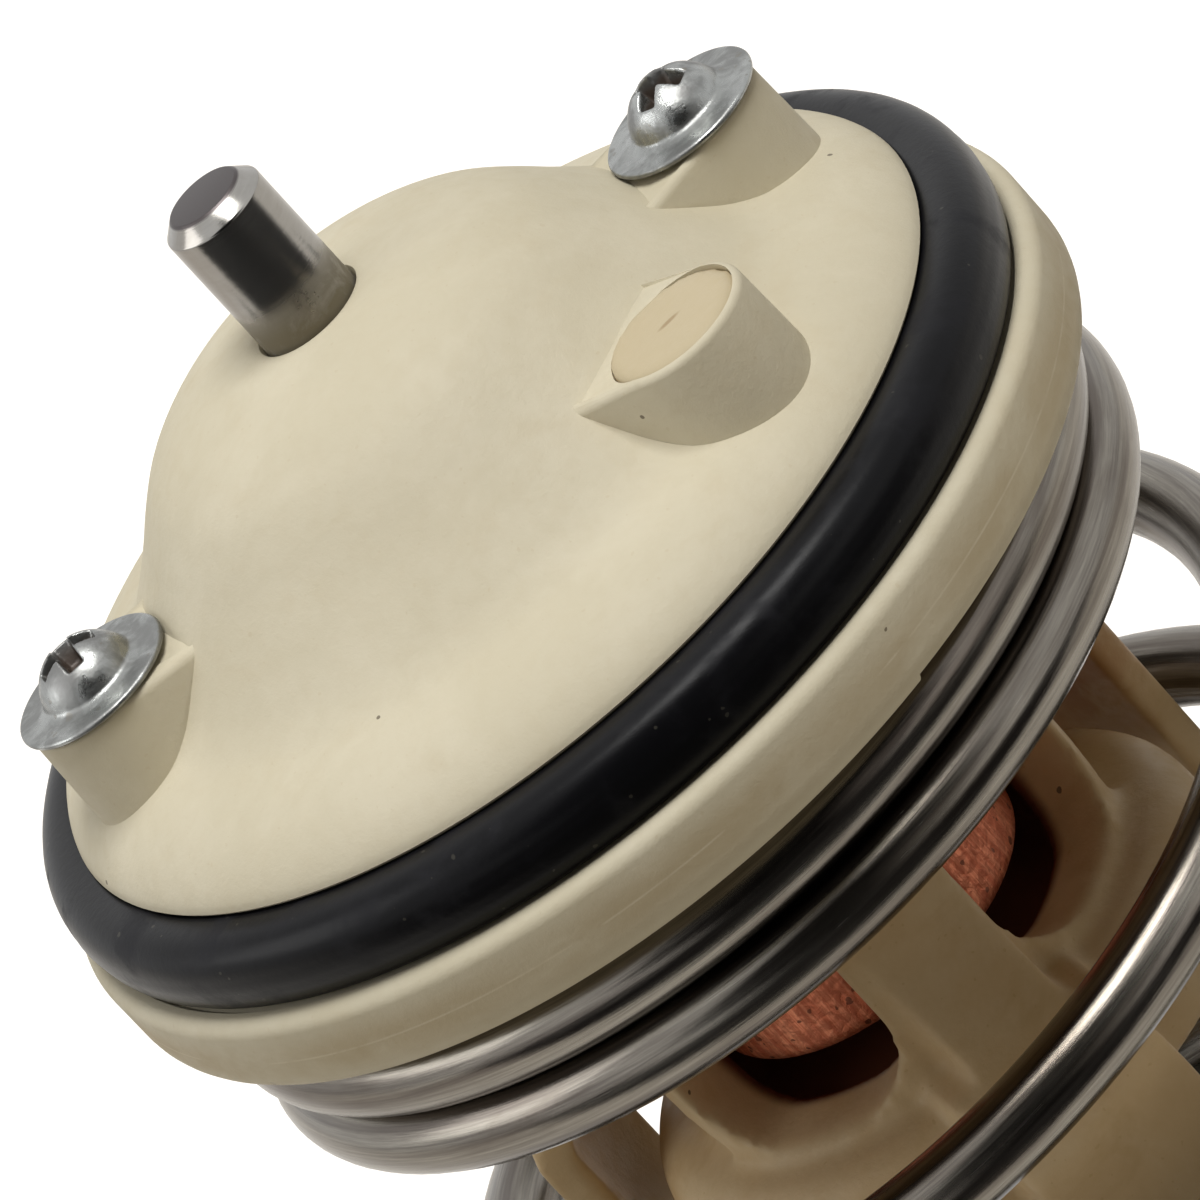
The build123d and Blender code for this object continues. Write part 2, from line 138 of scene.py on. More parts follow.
def flowing(points, steps=8):
    """A smooth curve through every point (Catmull-Rom), for a section with no straight parts."""
    padded = [points[0]] + list(points) + [points[-1]]
    curve = [points[0]]
    for a, b, c, d in zip(padded, padded[1:], padded[2:], padded[3:]):
        for step in range(1, steps + 1):
            t = step / steps
            curve.append(tuple(
                0.5 * (2 * b[i] + (c[i] - a[i]) * t + (2 * a[i] - 5 * b[i] + 4 * c[i] - d[i]) * t**2
                       + (3 * b[i] - a[i] - 3 * c[i] + d[i]) * t**3)
                for i in (0, 1)))
    return curve


# %% Helpers: turned pieces, bars and blocks
def laid_out(name, section, fill_type="NOTHING"):
    """A closed ring of points on a section of (radius, height) in mm, left selected in edit mode."""
    start_clean()
    bpy.ops.mesh.primitive_circle_add(
        vertices=len(section), radius=1, fill_type=fill_type, location=(0, 0, 0))
    piece = bpy.context.object
    piece.name = name
    for vertex, (radius, height) in zip(piece.data.vertices, section):
        vertex.co = (radius * MM, 0, height * MM)
    go("EDIT")
    bpy.ops.mesh.select_all(action="SELECT")
    return piece


def choose_edges(piece, wanted):
    """Goes to edit mode with some edges selected. The test is given an edge's two ends."""
    go("EDIT")
    bpy.ops.mesh.select_mode(type="EDGE")
    bpy.ops.mesh.select_all(action="DESELECT")
    go("OBJECT")
    for edge in piece.data.edges:
        a, b = (piece.data.vertices[i].co for i in edge.vertices)
        edge.select = wanted(a, b)
    go("EDIT")


def round_edges(piece, wanted, radius, segments):
    """Bevels some edges, by a radius in mm."""
    choose_edges(piece, wanted)
    bpy.ops.mesh.bevel(offset=radius * MM, segments=segments, affect="EDGES")
    go("OBJECT")
    return piece


def sector(name, section, first, sweep, steps=48):
    """Spins a filled section through part of a turn, from the first angle, into a closed block."""
    piece = laid_out(name, section, "NGON")
    bpy.ops.mesh.spin(steps=steps, angle=math.radians(sweep), center=(0, 0, 0), axis=(0, 0, 1))
    bpy.ops.mesh.select_all(action="SELECT")
    bpy.ops.mesh.normals_make_consistent(inside=False)
    go("OBJECT")
    # the spin may run either way round, so the block's middle is turned to where it belongs
    middle = sum((vertex.co for vertex in piece.data.vertices), Vector())
    piece.rotation_euler.z = math.radians(first + sweep / 2) - math.atan2(middle.y, middle.x)
    return apply_place(piece)


def turn(name, section, steps=192, solid_core=False):
    """Spins a section of (radius, height) points in mm about the Z axis into a closed shell."""
    piece = laid_out(name, section)
    if solid_core:
        # the stretch along the axis is opened, so that the poles close without an inner wire
        choose_edges(piece, lambda a, b: abs(a.x) < 1e-9 and abs(b.x) < 1e-9)
        bpy.ops.mesh.delete(type="EDGE")
        bpy.ops.mesh.select_mode(type="VERT")
    bpy.ops.mesh.select_all(action="SELECT")
    bpy.ops.mesh.spin(steps=steps, angle=2 * math.pi, center=(0, 0, 0), axis=(0, 0, 1))
    bpy.ops.mesh.select_all(action="SELECT")
    bpy.ops.mesh.remove_doubles(threshold=1e-7)
    bpy.ops.mesh.normals_make_consistent(inside=False)
    go("OBJECT")
    return piece


def cylinder(name, radius, low, high, place=(0, 0), sides=64):
    """An upright round bar between two heights, in mm."""
    start_clean()
    bpy.ops.mesh.primitive_cylinder_add(
        vertices=sides, radius=radius * MM, depth=(high - low) * MM,
        location=(place[0] * MM, place[1] * MM, (low + high) / 2 * MM))
    piece = bpy.context.object
    piece.name = name
    return apply_place(piece)


def box(name, near, far, width, low, high):
    """A block that straddles the X axis, from a near to a far radius and between two heights."""
    start_clean()
    bpy.ops.mesh.primitive_cube_add(size=1, location=(0, 0, 0))
    piece = bpy.context.object
    piece.name = name
    piece.scale = ((far - near) * MM, width * MM, (high - low) * MM)
    piece.location = ((near + far) / 2 * MM, 0, (low + high) / 2 * MM)
    return apply_place(piece)


# %% Helpers: joining, cutting, melting and shading
def joined(pieces):
    """Joins pieces into the first one."""
    start_clean()
    for piece in pieces:
        piece.select_set(True)
    bpy.context.view_layer.objects.active = pieces[0]
    bpy.ops.object.join()
    return pieces[0]


def modify(piece, kind, **settings):
    """Puts one modifier on a piece and applies it."""
    take(piece)
    modifier = piece.modifiers.new(kind.lower(), kind)
    for key, value in settings.items():
        setattr(modifier, key, value)
    bpy.ops.object.modifier_apply(modifier=modifier.name)


def combine(piece, tool, operation):
    """Adds, cuts or keeps with another closed mesh, which is then removed."""
    modify(piece, "BOOLEAN", operation=operation, solver="EXACT", object=tool)
    bpy.data.objects.remove(tool)


def melt(piece, voxel, rounds):
    """Remeshes a piece into one skin and smooths it a few rounds, so that every corner is soft."""
    modify(piece, "REMESH", mode="VOXEL", voxel_size=voxel * MM)
    modify(piece, "SMOOTH", factor=0.5, iterations=rounds)


def soften(piece, degrees=32):
    """Smooth shading that keeps every edge sharper than the given angle."""
    take(piece)
    bpy.ops.object.shade_smooth_by_angle(angle=math.radians(degrees))


def report(piece):
    """Prints a piece's size in mm and its triangles."""
    piece.data.calc_loop_triangles()
    size = [round(d / MM, 2) for d in piece.dimensions]
    print(f"{piece.name}: {size} mm, {len(piece.data.loop_triangles)} triangles")


# %% [markdown]
# ## Cap
# The real cap is one thick plastic moulding: a dome, a sloping land, a thin lip, the O-ring
# groove and the wide flange. Everything round is one section, turned once, so the roundings are
# true arcs. The bosses are joined on with a Boolean, which leaves the sharp wedge where each one
# runs into the dome.

# %% Cap: the turned body
CAP_BORE_R = 3.08
GROOVE_FLOOR_R, GROOVE_LOW_Z, GROOVE_ROUND = 26.6, LIP_Z - 4.92, 0.3
LIP_R = 28.1
FLANGE_R = 31.83
FLANGE_TOP_ROUND, FLANGE_LOW_ROUND, FLANGE_RISE = 0.85, 1.7, 0.35
SEAM_Z = FLANGE_LOW_Z + 2.7
# the dome, the land and the hollow are lists of radii and heights over the lip
DOME = [(3.6, 15.35), (5.6, 15.2), (7.86, 14.75), (10.2, 13.95), (12.39, 12.65), (14.1, 11.05),
        (15.69, 9.3), (17.79, 7.15), (19.59, 5.45), (20.6, 4.7), (21.6, 4.15)]
LAND = [(22.8, 3.75), (24.2, 3.3), (25.5, 2.72), (26.6, 2.0), (27.4, 1.25), (27.9, 0.6), (LIP_R, 0.15)]
# under the dome, a collar holds the capsule, and a hub inside a ring-shaped moat holds the guide
COLLAR_OUT_R, COLLAR_IN_R, CAPSULE_TOP_Z = 15.0, 12.8, 69.1
HOLLOW = [(23.4, 0.25), (20.2, 0.6), (18.2, 2.9), (16.6, 5.0), (COLLAR_OUT_R, 6.85)]
MOAT_OUT_R, MOAT_IN_R, MOAT_TOP_Z = 10.4, 8.2, LIP_Z + 9.5
POCKET_R, POCKET_TOP_Z = 5.7, LIP_Z + 8.3


def over_lip(points):
    """Turns heights over the lip into heights over the feet."""
    return [(radius, LIP_Z + height) for radius, height in points]


cap_section = over_lip([(CAP_BORE_R, 14.9), (CAP_BORE_R + 0.15, 15.25)] + flowing(DOME + LAND, 5))
cap_section += [(LIP_R - 0.1, LIP_Z)]
cap_section += rounded(GROOVE_FLOOR_R, LIP_Z, -GROOVE_ROUND, -90, 0, 3)
cap_section += rounded(GROOVE_FLOOR_R, GROOVE_LOW_Z, -GROOVE_ROUND, 0, 90, 3)
cap_section += [(30.3, GROOVE_LOW_Z), (30.6, GROOVE_LOW_Z + 0.3)]
cap_section += rounded(FLANGE_R, GROOVE_LOW_Z + FLANGE_RISE, FLANGE_TOP_ROUND, 90, 0, 8)
cap_section += rounded(FLANGE_R, FLANGE_LOW_Z, FLANGE_LOW_ROUND, 0, -90, 8)
cap_section += [(HOLLOW[0][0], FLANGE_LOW_Z), *over_lip(HOLLOW), (COLLAR_OUT_R, FLANGE_LOW_Z),
                (COLLAR_IN_R, FLANGE_LOW_Z), (COLLAR_IN_R, CAPSULE_TOP_Z), (MOAT_OUT_R, CAPSULE_TOP_Z),
                (MOAT_OUT_R, MOAT_TOP_Z), (MOAT_IN_R, MOAT_TOP_Z), (MOAT_IN_R, CAPSULE_TOP_Z),
                (POCKET_R, CAPSULE_TOP_Z), (POCKET_R, POCKET_TOP_Z), (CAP_BORE_R, POCKET_TOP_Z)]
cap = turn("cap_moulding", cap_section, steps=224)
report(cap)

# %% [markdown]
# ### Bosses
# A boss is a round post whose inner half is pulled towards the dome, so its sides run straight
# in and disappear. Its foot is a little wider than its top, as a moulding needs to leave its die.
# Its top falls a little and its sides spread a little on the way in.

# %% Cap: three bosses, their holes and the recess for the coil's first quarter turn
# the two screws and the peg stand on one circle
POSTS_R = 21.2
BOSS_R, BOSS_TOP_Z, BOSS_FOOT_Z = 4.36, LIP_Z + 8.5, LIP_Z + 2.4
SCREW_ANGLES, PEG_ANGLE = (0.0, 180.0), -55.5
SCREW_HOLE_R, PEG_HOLE_R, SPOT_R, PEG_PILLAR_R = 2.3, 4.0, 4.75, 5.25
DRILL_LOW_Z, DRILL_HIGH_Z, SPOT_HIGH_Z = 60, 90, 92
BOSS_ROUND, FOOT_SPREAD = 0.4, 1.06
WEDGE_RUN, WEDGE_DROP, WEDGE_SPREAD = 5.5, 0.65, 1.08


def boss(angle):
    """One drafted boss, with a softened rim, turned to its angle."""
    post = cylinder("boss", BOSS_R, BOSS_FOOT_Z, BOSS_TOP_Z, (POSTS_R, 0), sides=96)
    over_foot = (BOSS_FOOT_Z + 1) * MM
    for vertex in post.data.vertices:
        if vertex.co.z < over_foot:
            vertex.co.x = POSTS_R * MM + (vertex.co.x - POSTS_R * MM) * FOOT_SPREAD
            vertex.co.y *= FOOT_SPREAD
        if vertex.co.x < (POSTS_R - 0.01) * MM:
            vertex.co.x -= WEDGE_RUN * MM
            vertex.co.y *= WEDGE_SPREAD
            if vertex.co.z > over_foot:
                vertex.co.z -= WEDGE_DROP * MM
    round_edges(post, lambda a, b: a.z > over_foot and b.z > over_foot, BOSS_ROUND, 4)
    return swung(post, angle)


def bars(radius, low, high, angles, sides=64):
    """Upright bars on the circle of the bosses, at these angles."""
    return [cylinder("bar", radius, low, high, polar(POSTS_R, angle), sides) for angle in angles]


combine(cap, joined([boss(angle) for angle in (*SCREW_ANGLES, PEG_ANGLE)]), "UNION")
pillars = bars(BOSS_R, FLANGE_LOW_Z, LIP_Z + 2.2, SCREW_ANGLES)
pillars += bars(PEG_PILLAR_R, FLANGE_LOW_Z, LIP_Z + 1.2, [PEG_ANGLE])
combine(cap, joined(pillars), "UNION")
holes = bars(SCREW_HOLE_R, DRILL_LOW_Z, DRILL_HIGH_Z, SCREW_ANGLES)
holes += bars(PEG_HOLE_R, DRILL_LOW_Z, DRILL_HIGH_Z, [PEG_ANGLE], sides=96)
combine(cap, joined(holes), "DIFFERENCE")
combine(cap, joined(bars(SPOT_R, BOSS_TOP_Z, SPOT_HIGH_Z, SCREW_ANGLES, sides=96)), "DIFFERENCE")

RECESS_FROM, RECESS_SWEEP, RECESS_STEP, RECESS_IN_R = -74.5, 75.5, 0.8, 24.6
RECESS_Z = FLANGE_LOW_Z + RECESS_STEP
recess_section = [(RECESS_IN_R, FLANGE_LOW_Z - 1), (FLANGE_R + 1, FLANGE_LOW_Z - 1),
                  (FLANGE_R + 1, RECESS_Z), (RECESS_IN_R, RECESS_Z)]
combine(cap, sector("recess", recess_section, RECESS_FROM, RECESS_SWEEP), "DIFFERENCE")
soften(cap)
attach(cap, "insert")
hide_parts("cap")
report(cap)

# %% [markdown]
# ## O-ring
# A rubber ring in a groove is never a perfect torus: it sits flat on the groove's floor, and the
# mould leaves a fine line round its widest part. The torus is pressed flat where it touches, it
# swells to fill the groove's corners, and the line is a row of points pushed a little outward.

# %% O-ring
RING_SECTION = 4.5
RING_HALF = RING_SECTION / 2
RING_R, RING_Z = GROOVE_FLOOR_R + RING_HALF, LIP_Z - 2.46
RING_SWELL, RING_POWER, MOULD_LINE = 1.085, 2.5, 0.04
start_clean()
bpy.ops.mesh.primitive_torus_add(
    location=(0, 0, RING_Z * MM), major_segments=256, minor_segments=48,
    major_radius=RING_R * MM, minor_radius=RING_HALF * MM)
ring = bpy.context.object
ring.name = "groove_ring"
apply_place(ring)
for vertex in ring.data.vertices:
    radius = math.hypot(vertex.co.x, vertex.co.y) / MM
    out = (radius - RING_R) / RING_HALF
    rise = (vertex.co.z / MM - RING_Z) / RING_HALF
    fuller = (abs(out)**RING_POWER + abs(rise)**RING_POWER)**(-1 / RING_POWER)
    moved = max(RING_R + out * fuller * RING_HALF, GROOVE_FLOOR_R + 0.05)
    if abs(rise) < 0.02 and radius > RING_R:
        moved += MOULD_LINE
    vertex.co.x *= moved / radius
    vertex.co.y *= moved / radius
    vertex.co.z = (RING_Z + rise * fuller * RING_SWELL * RING_HALF) * MM
soften(ring, 60)
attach(ring, "insert")
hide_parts("o_ring")
report(ring)

# %% [markdown]
# ## Cage
# The cage is a second moulding, with a windowed tube, a round shoulder, three arms that bend
# down into legs, and a peg that stands up through the third boss. Its corners are all generous.
# The plain solids are put together first, and one voxel remesh with a light smooth melts them
# into a single skin with soft corners everywhere.

# %% Cage: tube, plate and shoulder, with the windows cut
TUBE_R, TUBE_BORE_R, TUBE_FOOT_ROUND = 13.5, 10.4, 0.8
PLATE_R, PLATE_LOW_Z = 24.3, FLANGE_LOW_Z - 3.5
SHOULDER_R, SHOULDER_Z, SHOULDER_LOW_Z = 18.0, LIP_Z - 34.8, LIP_Z - 42.5
SHOULDER_DROP, SHOULDER_ROUND, SHOULDER_BORE_R = 0.9, 3.1, 15.2
FLOOR_Z, FLOOR_WALL = LIP_Z - 36.4, 2.4
WINDOWS = (-135.0, -45.0, 94.5)
WINDOW_WIDTH, WINDOW_LOW_Z, WINDOW_HIGH_Z = 13.9, SHOULDER_Z, LIP_Z - 17.0
WINDOW_ROUND, COLLAR_WIDTH, STRUT_R, SHELL_R, SHELL_LOW_Z = 4.4, 2.1, 14.5, 11.5, 30
shoulder_top_z = SHOULDER_Z - SHOULDER_DROP

tube_section = [(TUBE_BORE_R, FLANGE_LOW_Z), (PLATE_R, FLANGE_LOW_Z), (PLATE_R, PLATE_LOW_Z),
                (TUBE_R, PLATE_LOW_Z), (TUBE_R, shoulder_top_z + TUBE_FOOT_ROUND)]
tube_section += rounded(TUBE_R, shoulder_top_z, -TUBE_FOOT_ROUND, 0, 90, 4)[1:]
tube_section += rounded(SHOULDER_R, shoulder_top_z, SHOULDER_ROUND, 90, 0, 8)
tube_section += [(SHOULDER_R, SHOULDER_LOW_Z), (SHOULDER_BORE_R, SHOULDER_LOW_Z),
                 (SHOULDER_BORE_R, FLOOR_Z - FLOOR_WALL), (0, FLOOR_Z - FLOOR_WALL),
                 (0, FLOOR_Z), (TUBE_BORE_R, FLOOR_Z)]
cage = turn("cage_moulding", tube_section, steps=160, solid_core=True)


def window_block(angle, near, far, wider, rounding):
    """A block of a window's outline and some more all round it, with its long edges rounded."""
    block = box("window", near, far, WINDOW_WIDTH + 2 * wider, WINDOW_LOW_Z - wider, WINDOW_HIGH_Z + wider)
    return swung(round_edges(block, lambda a, b: abs(a.x - b.x) > 1 * MM, rounding, 10), angle)


def window_collar(angle):
    """The thicker rim that stands round one window."""
    collar = window_block(angle, 9, 18, COLLAR_WIDTH, WINDOW_ROUND + COLLAR_WIDTH)
    top = PLATE_LOW_Z + 1
    shell = [(SHELL_R, SHELL_LOW_Z), (STRUT_R, SHELL_LOW_Z), (STRUT_R, top), (SHELL_R, top)]
    combine(collar, turn("shell", shell, steps=128), "INTERSECT")
    return collar


for window in WINDOWS:
    combine(cage, window_collar(window), "UNION")
for window in WINDOWS:
    combine(cage, window_block(window, 4, 15.8, 0, WINDOW_ROUND), "DIFFERENCE")
PILOT_R, PILOT_LOW_Z, PILOT_HIGH_Z = 2.05, 55, 70
combine(cage, joined(bars(PILOT_R, PILOT_LOW_Z, PILOT_HIGH_Z, SCREW_ANGLES)), "DIFFERENCE")
report(cage)

# %% Cage: two rear arms that bend down into legs
LEG_OUTER_R, LEG_WALL, LEG_WIDTH, LEG_CUT_Z = 22.5, 2.25, 10.5, -5
REAR_ANGLES, NEAR_LEG_ANGLE = (34.5, 154.5), -88.0
ARM_ROOT_R, ARM_TOP_Z, ARM_BEND_R = 11.95, LIP_Z - 28.5, 4.7
BARB_Z, BARB_REACH, BARB_FACE = 3.25, 2, 0.8
barb = [(LEG_OUTER_R, BARB_Z), (LEG_OUTER_R + BARB_REACH, BARB_Z),
        (LEG_OUTER_R + BARB_REACH, BARB_Z - BARB_FACE), (LEG_OUTER_R + 0.3, 0), (LEG_OUTER_R - LEG_WALL, 0)]
bend = (LEG_OUTER_R - ARM_BEND_R, ARM_TOP_Z - ARM_BEND_R)
rear_section = [(ARM_ROOT_R, ARM_TOP_Z)] + corner(bend, ARM_BEND_R, 90, 0, 10) + barb
rear_section += corner(bend, ARM_BEND_R - LEG_WALL, 0, 90, 8) + [(ARM_ROOT_R, ARM_TOP_Z - LEG_WALL)]


def kept_strip(section, angle, width, low, high):
    """Turns a section and keeps the strip of it that runs out at an angle, between two heights."""
    bell = turn("strip", section, steps=160)
    combine(bell, swung(box("slab", 0, 30, width, low, high), angle), "INTERSECT")
    return bell


strips = [kept_strip(rear_section, angle, LEG_WIDTH, LEG_CUT_Z, LIP_Z) for angle in REAR_ANGLES]

# %% Cage: the near strut, the buttress it grows into, and the near leg
STRUT_WIDTH, STRUT_TOP_Z = 6.5, PLATE_LOW_Z + 1.75
ROOT_R, ROOT_LOW_Z = 16.6, FLOOR_Z - 1.2
buttress = flowing([(STRUT_R, STRUT_TOP_Z), (STRUT_R + 0.05, LIP_Z - 20), (15.2, LIP_Z - 28),
                    (17.5, LIP_Z - 33), (20.5, LIP_Z - 37), (22.2, LIP_Z - 39.6),
                    (LEG_OUTER_R, LIP_Z - 41.5)], 4)
near_section = [(ARM_ROOT_R, STRUT_TOP_Z)] + buttress + barb
near_section += [(LEG_OUTER_R - LEG_WALL, SHOULDER_LOW_Z), (ROOT_R, SHOULDER_LOW_Z),
                 (ROOT_R, ROOT_LOW_Z), (ARM_ROOT_R, ROOT_LOW_Z)]
strips.append(kept_strip(near_section, NEAR_LEG_ANGLE, STRUT_WIDTH, SHOULDER_Z - 1, LIP_Z))
strips.append(kept_strip(near_section, NEAR_LEG_ANGLE, LEG_WIDTH, LEG_CUT_Z, SHOULDER_Z))

# %% Cage: screw posts and the locating peg
POST_R, POST_LOW_Z, PEG_R = 2.9, LIP_Z - 20.5, 4.0
post_section = [(PILOT_R, POST_LOW_Z), (POST_R, POST_LOW_Z), (POST_R, PLATE_LOW_Z + 1),
                (PILOT_R, PLATE_LOW_Z + 1)]
posts = []
for angle in SCREW_ANGLES:
    post = turn("post", post_section, steps=48)
    post.location = at(POSTS_R, angle)
    posts.append(apply_place(post))
pegs = bars(PEG_R, FLANGE_LOW_Z - 0.5, BOSS_TOP_Z + 0.05, [PEG_ANGLE], sides=96)
cage = joined([cage, *strips, *posts, *pegs])
cage.name = "cage_moulding"

# %% Cage: one skin with soft corners
CAGE_VOXEL = 0.42
melt(cage, CAGE_VOXEL, rounds=4)
bpy.ops.object.shade_smooth()
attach(cage, "insert")
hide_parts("cage")
report(cage)

# %% [markdown]
# ## Main spring
# The spring is thick drawn wire. Its two ends lie closed, coil on coil, and the turns between
# stand apart. A curve with a round bevel follows that line, and its ends are cut flat. The wire's
# drawing marks run along it, so the mesh gets its own UV map: U along the wire, V round it.

# %% Main spring: the line of the wire
WIRE_R, COIL_R = 2.225, 27.33
NEAR_ANGLE = -93.5
CLOSED_PITCH, STEEP_PITCH, END_GAP = 4.52, 15.0, 0.05
START_TURN, CLOSED_TURN, SIDE_TURN, SECOND_TURN = -0.25, 1.2, 1.75, 2.0
CLOSING_TURN, AGAIN_TURN, END_TURN = 3.85, 4.2, 5.0
SEAT_TOP_Z = BARB_Z + 2.0
start_z = RECESS_Z - END_GAP - WIRE_R
side_z, second_z = LIP_Z - 29.4, LIP_Z - 32.9
end_z = SEAT_TOP_Z + END_GAP + WIRE_R
again_z = end_z + CLOSED_PITCH * (END_TURN - AGAIN_TURN)
# the open turns share out the height that the closed ones leave
closing_half = (AGAIN_TURN - CLOSING_TURN) / 2
open_pitch = (second_z - again_z - CLOSED_PITCH * closing_half) / (CLOSING_TURN - SECOND_TURN + closing_half)
STATIONS = (
    (START_TURN, start_z, CLOSED_PITCH),
    (CLOSED_TURN, start_z - CLOSED_PITCH * (CLOSED_TURN - START_TURN), CLOSED_PITCH),
    (SIDE_TURN, side_z, STEEP_PITCH),
    (SECOND_TURN, second_z, open_pitch),
    (CLOSING_TURN, second_z - open_pitch * (CLOSING_TURN - SECOND_TURN), open_pitch),
    (AGAIN_TURN, again_z, CLOSED_PITCH),
    (END_TURN, end_z, CLOSED_PITCH))


def wire_height(turns):
    """Height of the wire's centre, as a cubic between stations of turn, height and pitch."""
    for (t0, z0, p0), (t1, z1, p1) in zip(STATIONS, STATIONS[1:]):
        if turns <= t1 + 1e-9:
            break
    span = t1 - t0
    s = (turns - t0) / span
    blend = 2 * s**3 - 3 * s**2 + 1
    return (blend * z0 + (1 - blend) * z1
            - (s**3 - 2 * s**2 + s) * span * p0 - (s**3 - s**2) * span * p1)


RINGS_PER_TURN, WIRE_SIDES = 120, 28
ring_count = round((END_TURN - START_TURN) * RINGS_PER_TURN)
start_clean()
bpy.ops.curve.primitive_nurbs_path_add(location=(0, 0, 0))
coil = bpy.context.object
coil.name = "main_coil"
coil.data.splines.clear()
line = coil.data.splines.new("POLY")
line.points.add(ring_count)
for index, point in enumerate(line.points):
    turns = START_TURN + (END_TURN - START_TURN) * index / ring_count
    point.co = (*at(COIL_R, NEAR_ANGLE - 360 * turns, wire_height(turns)), 1)
coil.data.bevel_depth = WIRE_R * MM
coil.data.bevel_resolution = WIRE_SIDES // 2 - 2
coil.data.use_fill_caps = True
coil.data.twist_mode = "Z_UP"
take(coil)
bpy.ops.object.convert(target="MESH")
coil = bpy.context.object

# %% Main spring: UVs along the wire
def held_height(turns):
    """The wire's height at a turn that may lie a little past either end."""
    return wire_height(min(max(turns, START_TURN), END_TURN))


def unwrap_wire(piece):
    """Writes a UV map from each point's own place: U is mm along the wire, V the turn round it."""
    layer = piece.data.uv_layers.new(name="wire")
    per_turn = 2 * math.pi * COIL_R
    for loop, stored in zip(piece.data.loops, layer.data):
        co = piece.data.vertices[loop.vertex_index].co / MM
        base = (NEAR_ANGLE - math.degrees(math.atan2(co.y, co.x))) / 360
        # the same bearing comes round on every turn, so the turn nearest in height is taken
        passes = [base + whole for whole in range(-1, 7)]
        passes = [turns for turns in passes if START_TURN - 0.01 < turns < END_TURN + 0.01]
        best = min(passes, key=lambda turns: abs(held_height(turns) - co.z))
        around = math.atan2(co.z - held_height(best), math.hypot(co.x, co.y) - COIL_R) / (2 * math.pi)
        stored.uv = (best * per_turn, around)


unwrap_wire(coil)
soften(coil, 40)
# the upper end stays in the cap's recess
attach(coil, "insert")
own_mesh(coil)
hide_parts("main_spring")
report(coil)

# %% [markdown]
# ## Spring seat
# The spring's lower end stands on a pressed ring. Its inner edge is turned up into a collar that
# slides on the three legs. Pressed sheet has a round bend and softly rolled edges.

# %% Spring seat
SEAT_LOW_Z = BARB_Z - 0.6
SEAT_R, SEAT_STEP_R, SEAT_EDGE_ROUND = 31.0, 25.2, 0.5
SEAT_COLLAR_IN_R, SEAT_COLLAR_OUT_R, SEAT_BEND = 22.8, 24.6, 0.4
COLLAR_EDGE_ROUND, COLLAR_TOP_Z = 0.6, SEAT_TOP_Z + 3.6
seat_section = [(SEAT_COLLAR_IN_R, BARB_Z + 0.8)]
seat_section += rounded(SEAT_COLLAR_IN_R, BARB_Z, 0.8, 180, 270, 4)
seat_section += rounded(SEAT_STEP_R, BARB_Z, 0.2, 90, 0, 2)
seat_section += rounded(SEAT_STEP_R, SEAT_LOW_Z, 0.2, 180, 270, 2)
seat_section += rounded(SEAT_R, SEAT_LOW_Z, SEAT_EDGE_ROUND, -90, 0, 4)
seat_section += rounded(SEAT_R, SEAT_TOP_Z, SEAT_EDGE_ROUND, 0, 90, 4)
seat_section += corner((SEAT_COLLAR_OUT_R + SEAT_BEND, SEAT_TOP_Z + SEAT_BEND), -SEAT_BEND, 90, 0, 3)
seat_section += rounded(SEAT_COLLAR_OUT_R, COLLAR_TOP_Z, COLLAR_EDGE_ROUND, 0, 90, 4)
seat_section += rounded(SEAT_COLLAR_IN_R, COLLAR_TOP_Z, COLLAR_EDGE_ROUND, 90, 180, 4)
seat = turn("seat_ring", seat_section, steps=192)
soften(seat)
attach(seat, "seat")
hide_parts("spring_seat")
report(seat)

# %% [markdown]
# ## Piston
# The piston is a ground steel pin. Its tip has a polished chamfer with a soft corner on each
# side, and that bright ring is what the eye catches.

# %% Piston
PISTON_R, PISTON_TOP_Z, PISTON_LOW_Z, PISTON_FOOT = 3.0, LIP_Z + 23.9, LIP_Z - 28.4, 0.8
piston_section = [(0, PISTON_TOP_Z)]
piston_section += corner((PISTON_R - 0.95, PISTON_TOP_Z - 0.15), 0.15, 90, 45, 3)
piston_section += corner((PISTON_R - 0.2, PISTON_TOP_Z - 0.95), 0.2, 45, 0, 3)
piston_section += [(PISTON_R, LIP_Z + 14), (PISTON_R, PISTON_LOW_Z + PISTON_FOOT),
                   (PISTON_R - PISTON_FOOT, PISTON_LOW_Z), (0, PISTON_LOW_Z)]
piston = turn("ground_piston", piston_section, steps=128, solid_core=True)
soften(piston, 30)
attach(piston, "piston")
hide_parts("piston")
report(piston)

# %% [markdown]
# ## Wax cup
# The copper cup is drawn from sheet, with a round bottom edge, and its collar is rolled over the
# guide's flange. Only its side and bottom edge show through the cage's windows.

# %% Wax cup
CUP_R, CUP_LOW_Z, CUP_ROUND = 10.1, LIP_Z - 33.0, 1.2
CUP_BORE_R, CUP_SHEET, CUP_COLLAR_R, CUP_ROLL_R, GUIDE_TOP_Z = 9.0, 0.8, 12.4, 10.6, 68.4
guide_r, guide_low_z = CUP_COLLAR_R - CUP_SHEET, FLANGE_LOW_Z + CUP_SHEET
cup_section = [(0, CUP_LOW_Z)] + rounded(CUP_R, CUP_LOW_Z, CUP_ROUND, -90, 0, 8)
cup_section += [(CUP_R, FLANGE_LOW_Z), (CUP_COLLAR_R, FLANGE_LOW_Z)]
cup_section += rounded(CUP_COLLAR_R, CAPSULE_TOP_Z, 0.5, 0, 90, 4)
cup_section += [(CUP_ROLL_R, CAPSULE_TOP_Z), (CUP_ROLL_R, GUIDE_TOP_Z), (guide_r, GUIDE_TOP_Z),
                (guide_r, guide_low_z), (CUP_BORE_R, guide_low_z), (CUP_BORE_R, CUP_LOW_Z + CUP_SHEET),
                (0, CUP_LOW_Z + CUP_SHEET)]
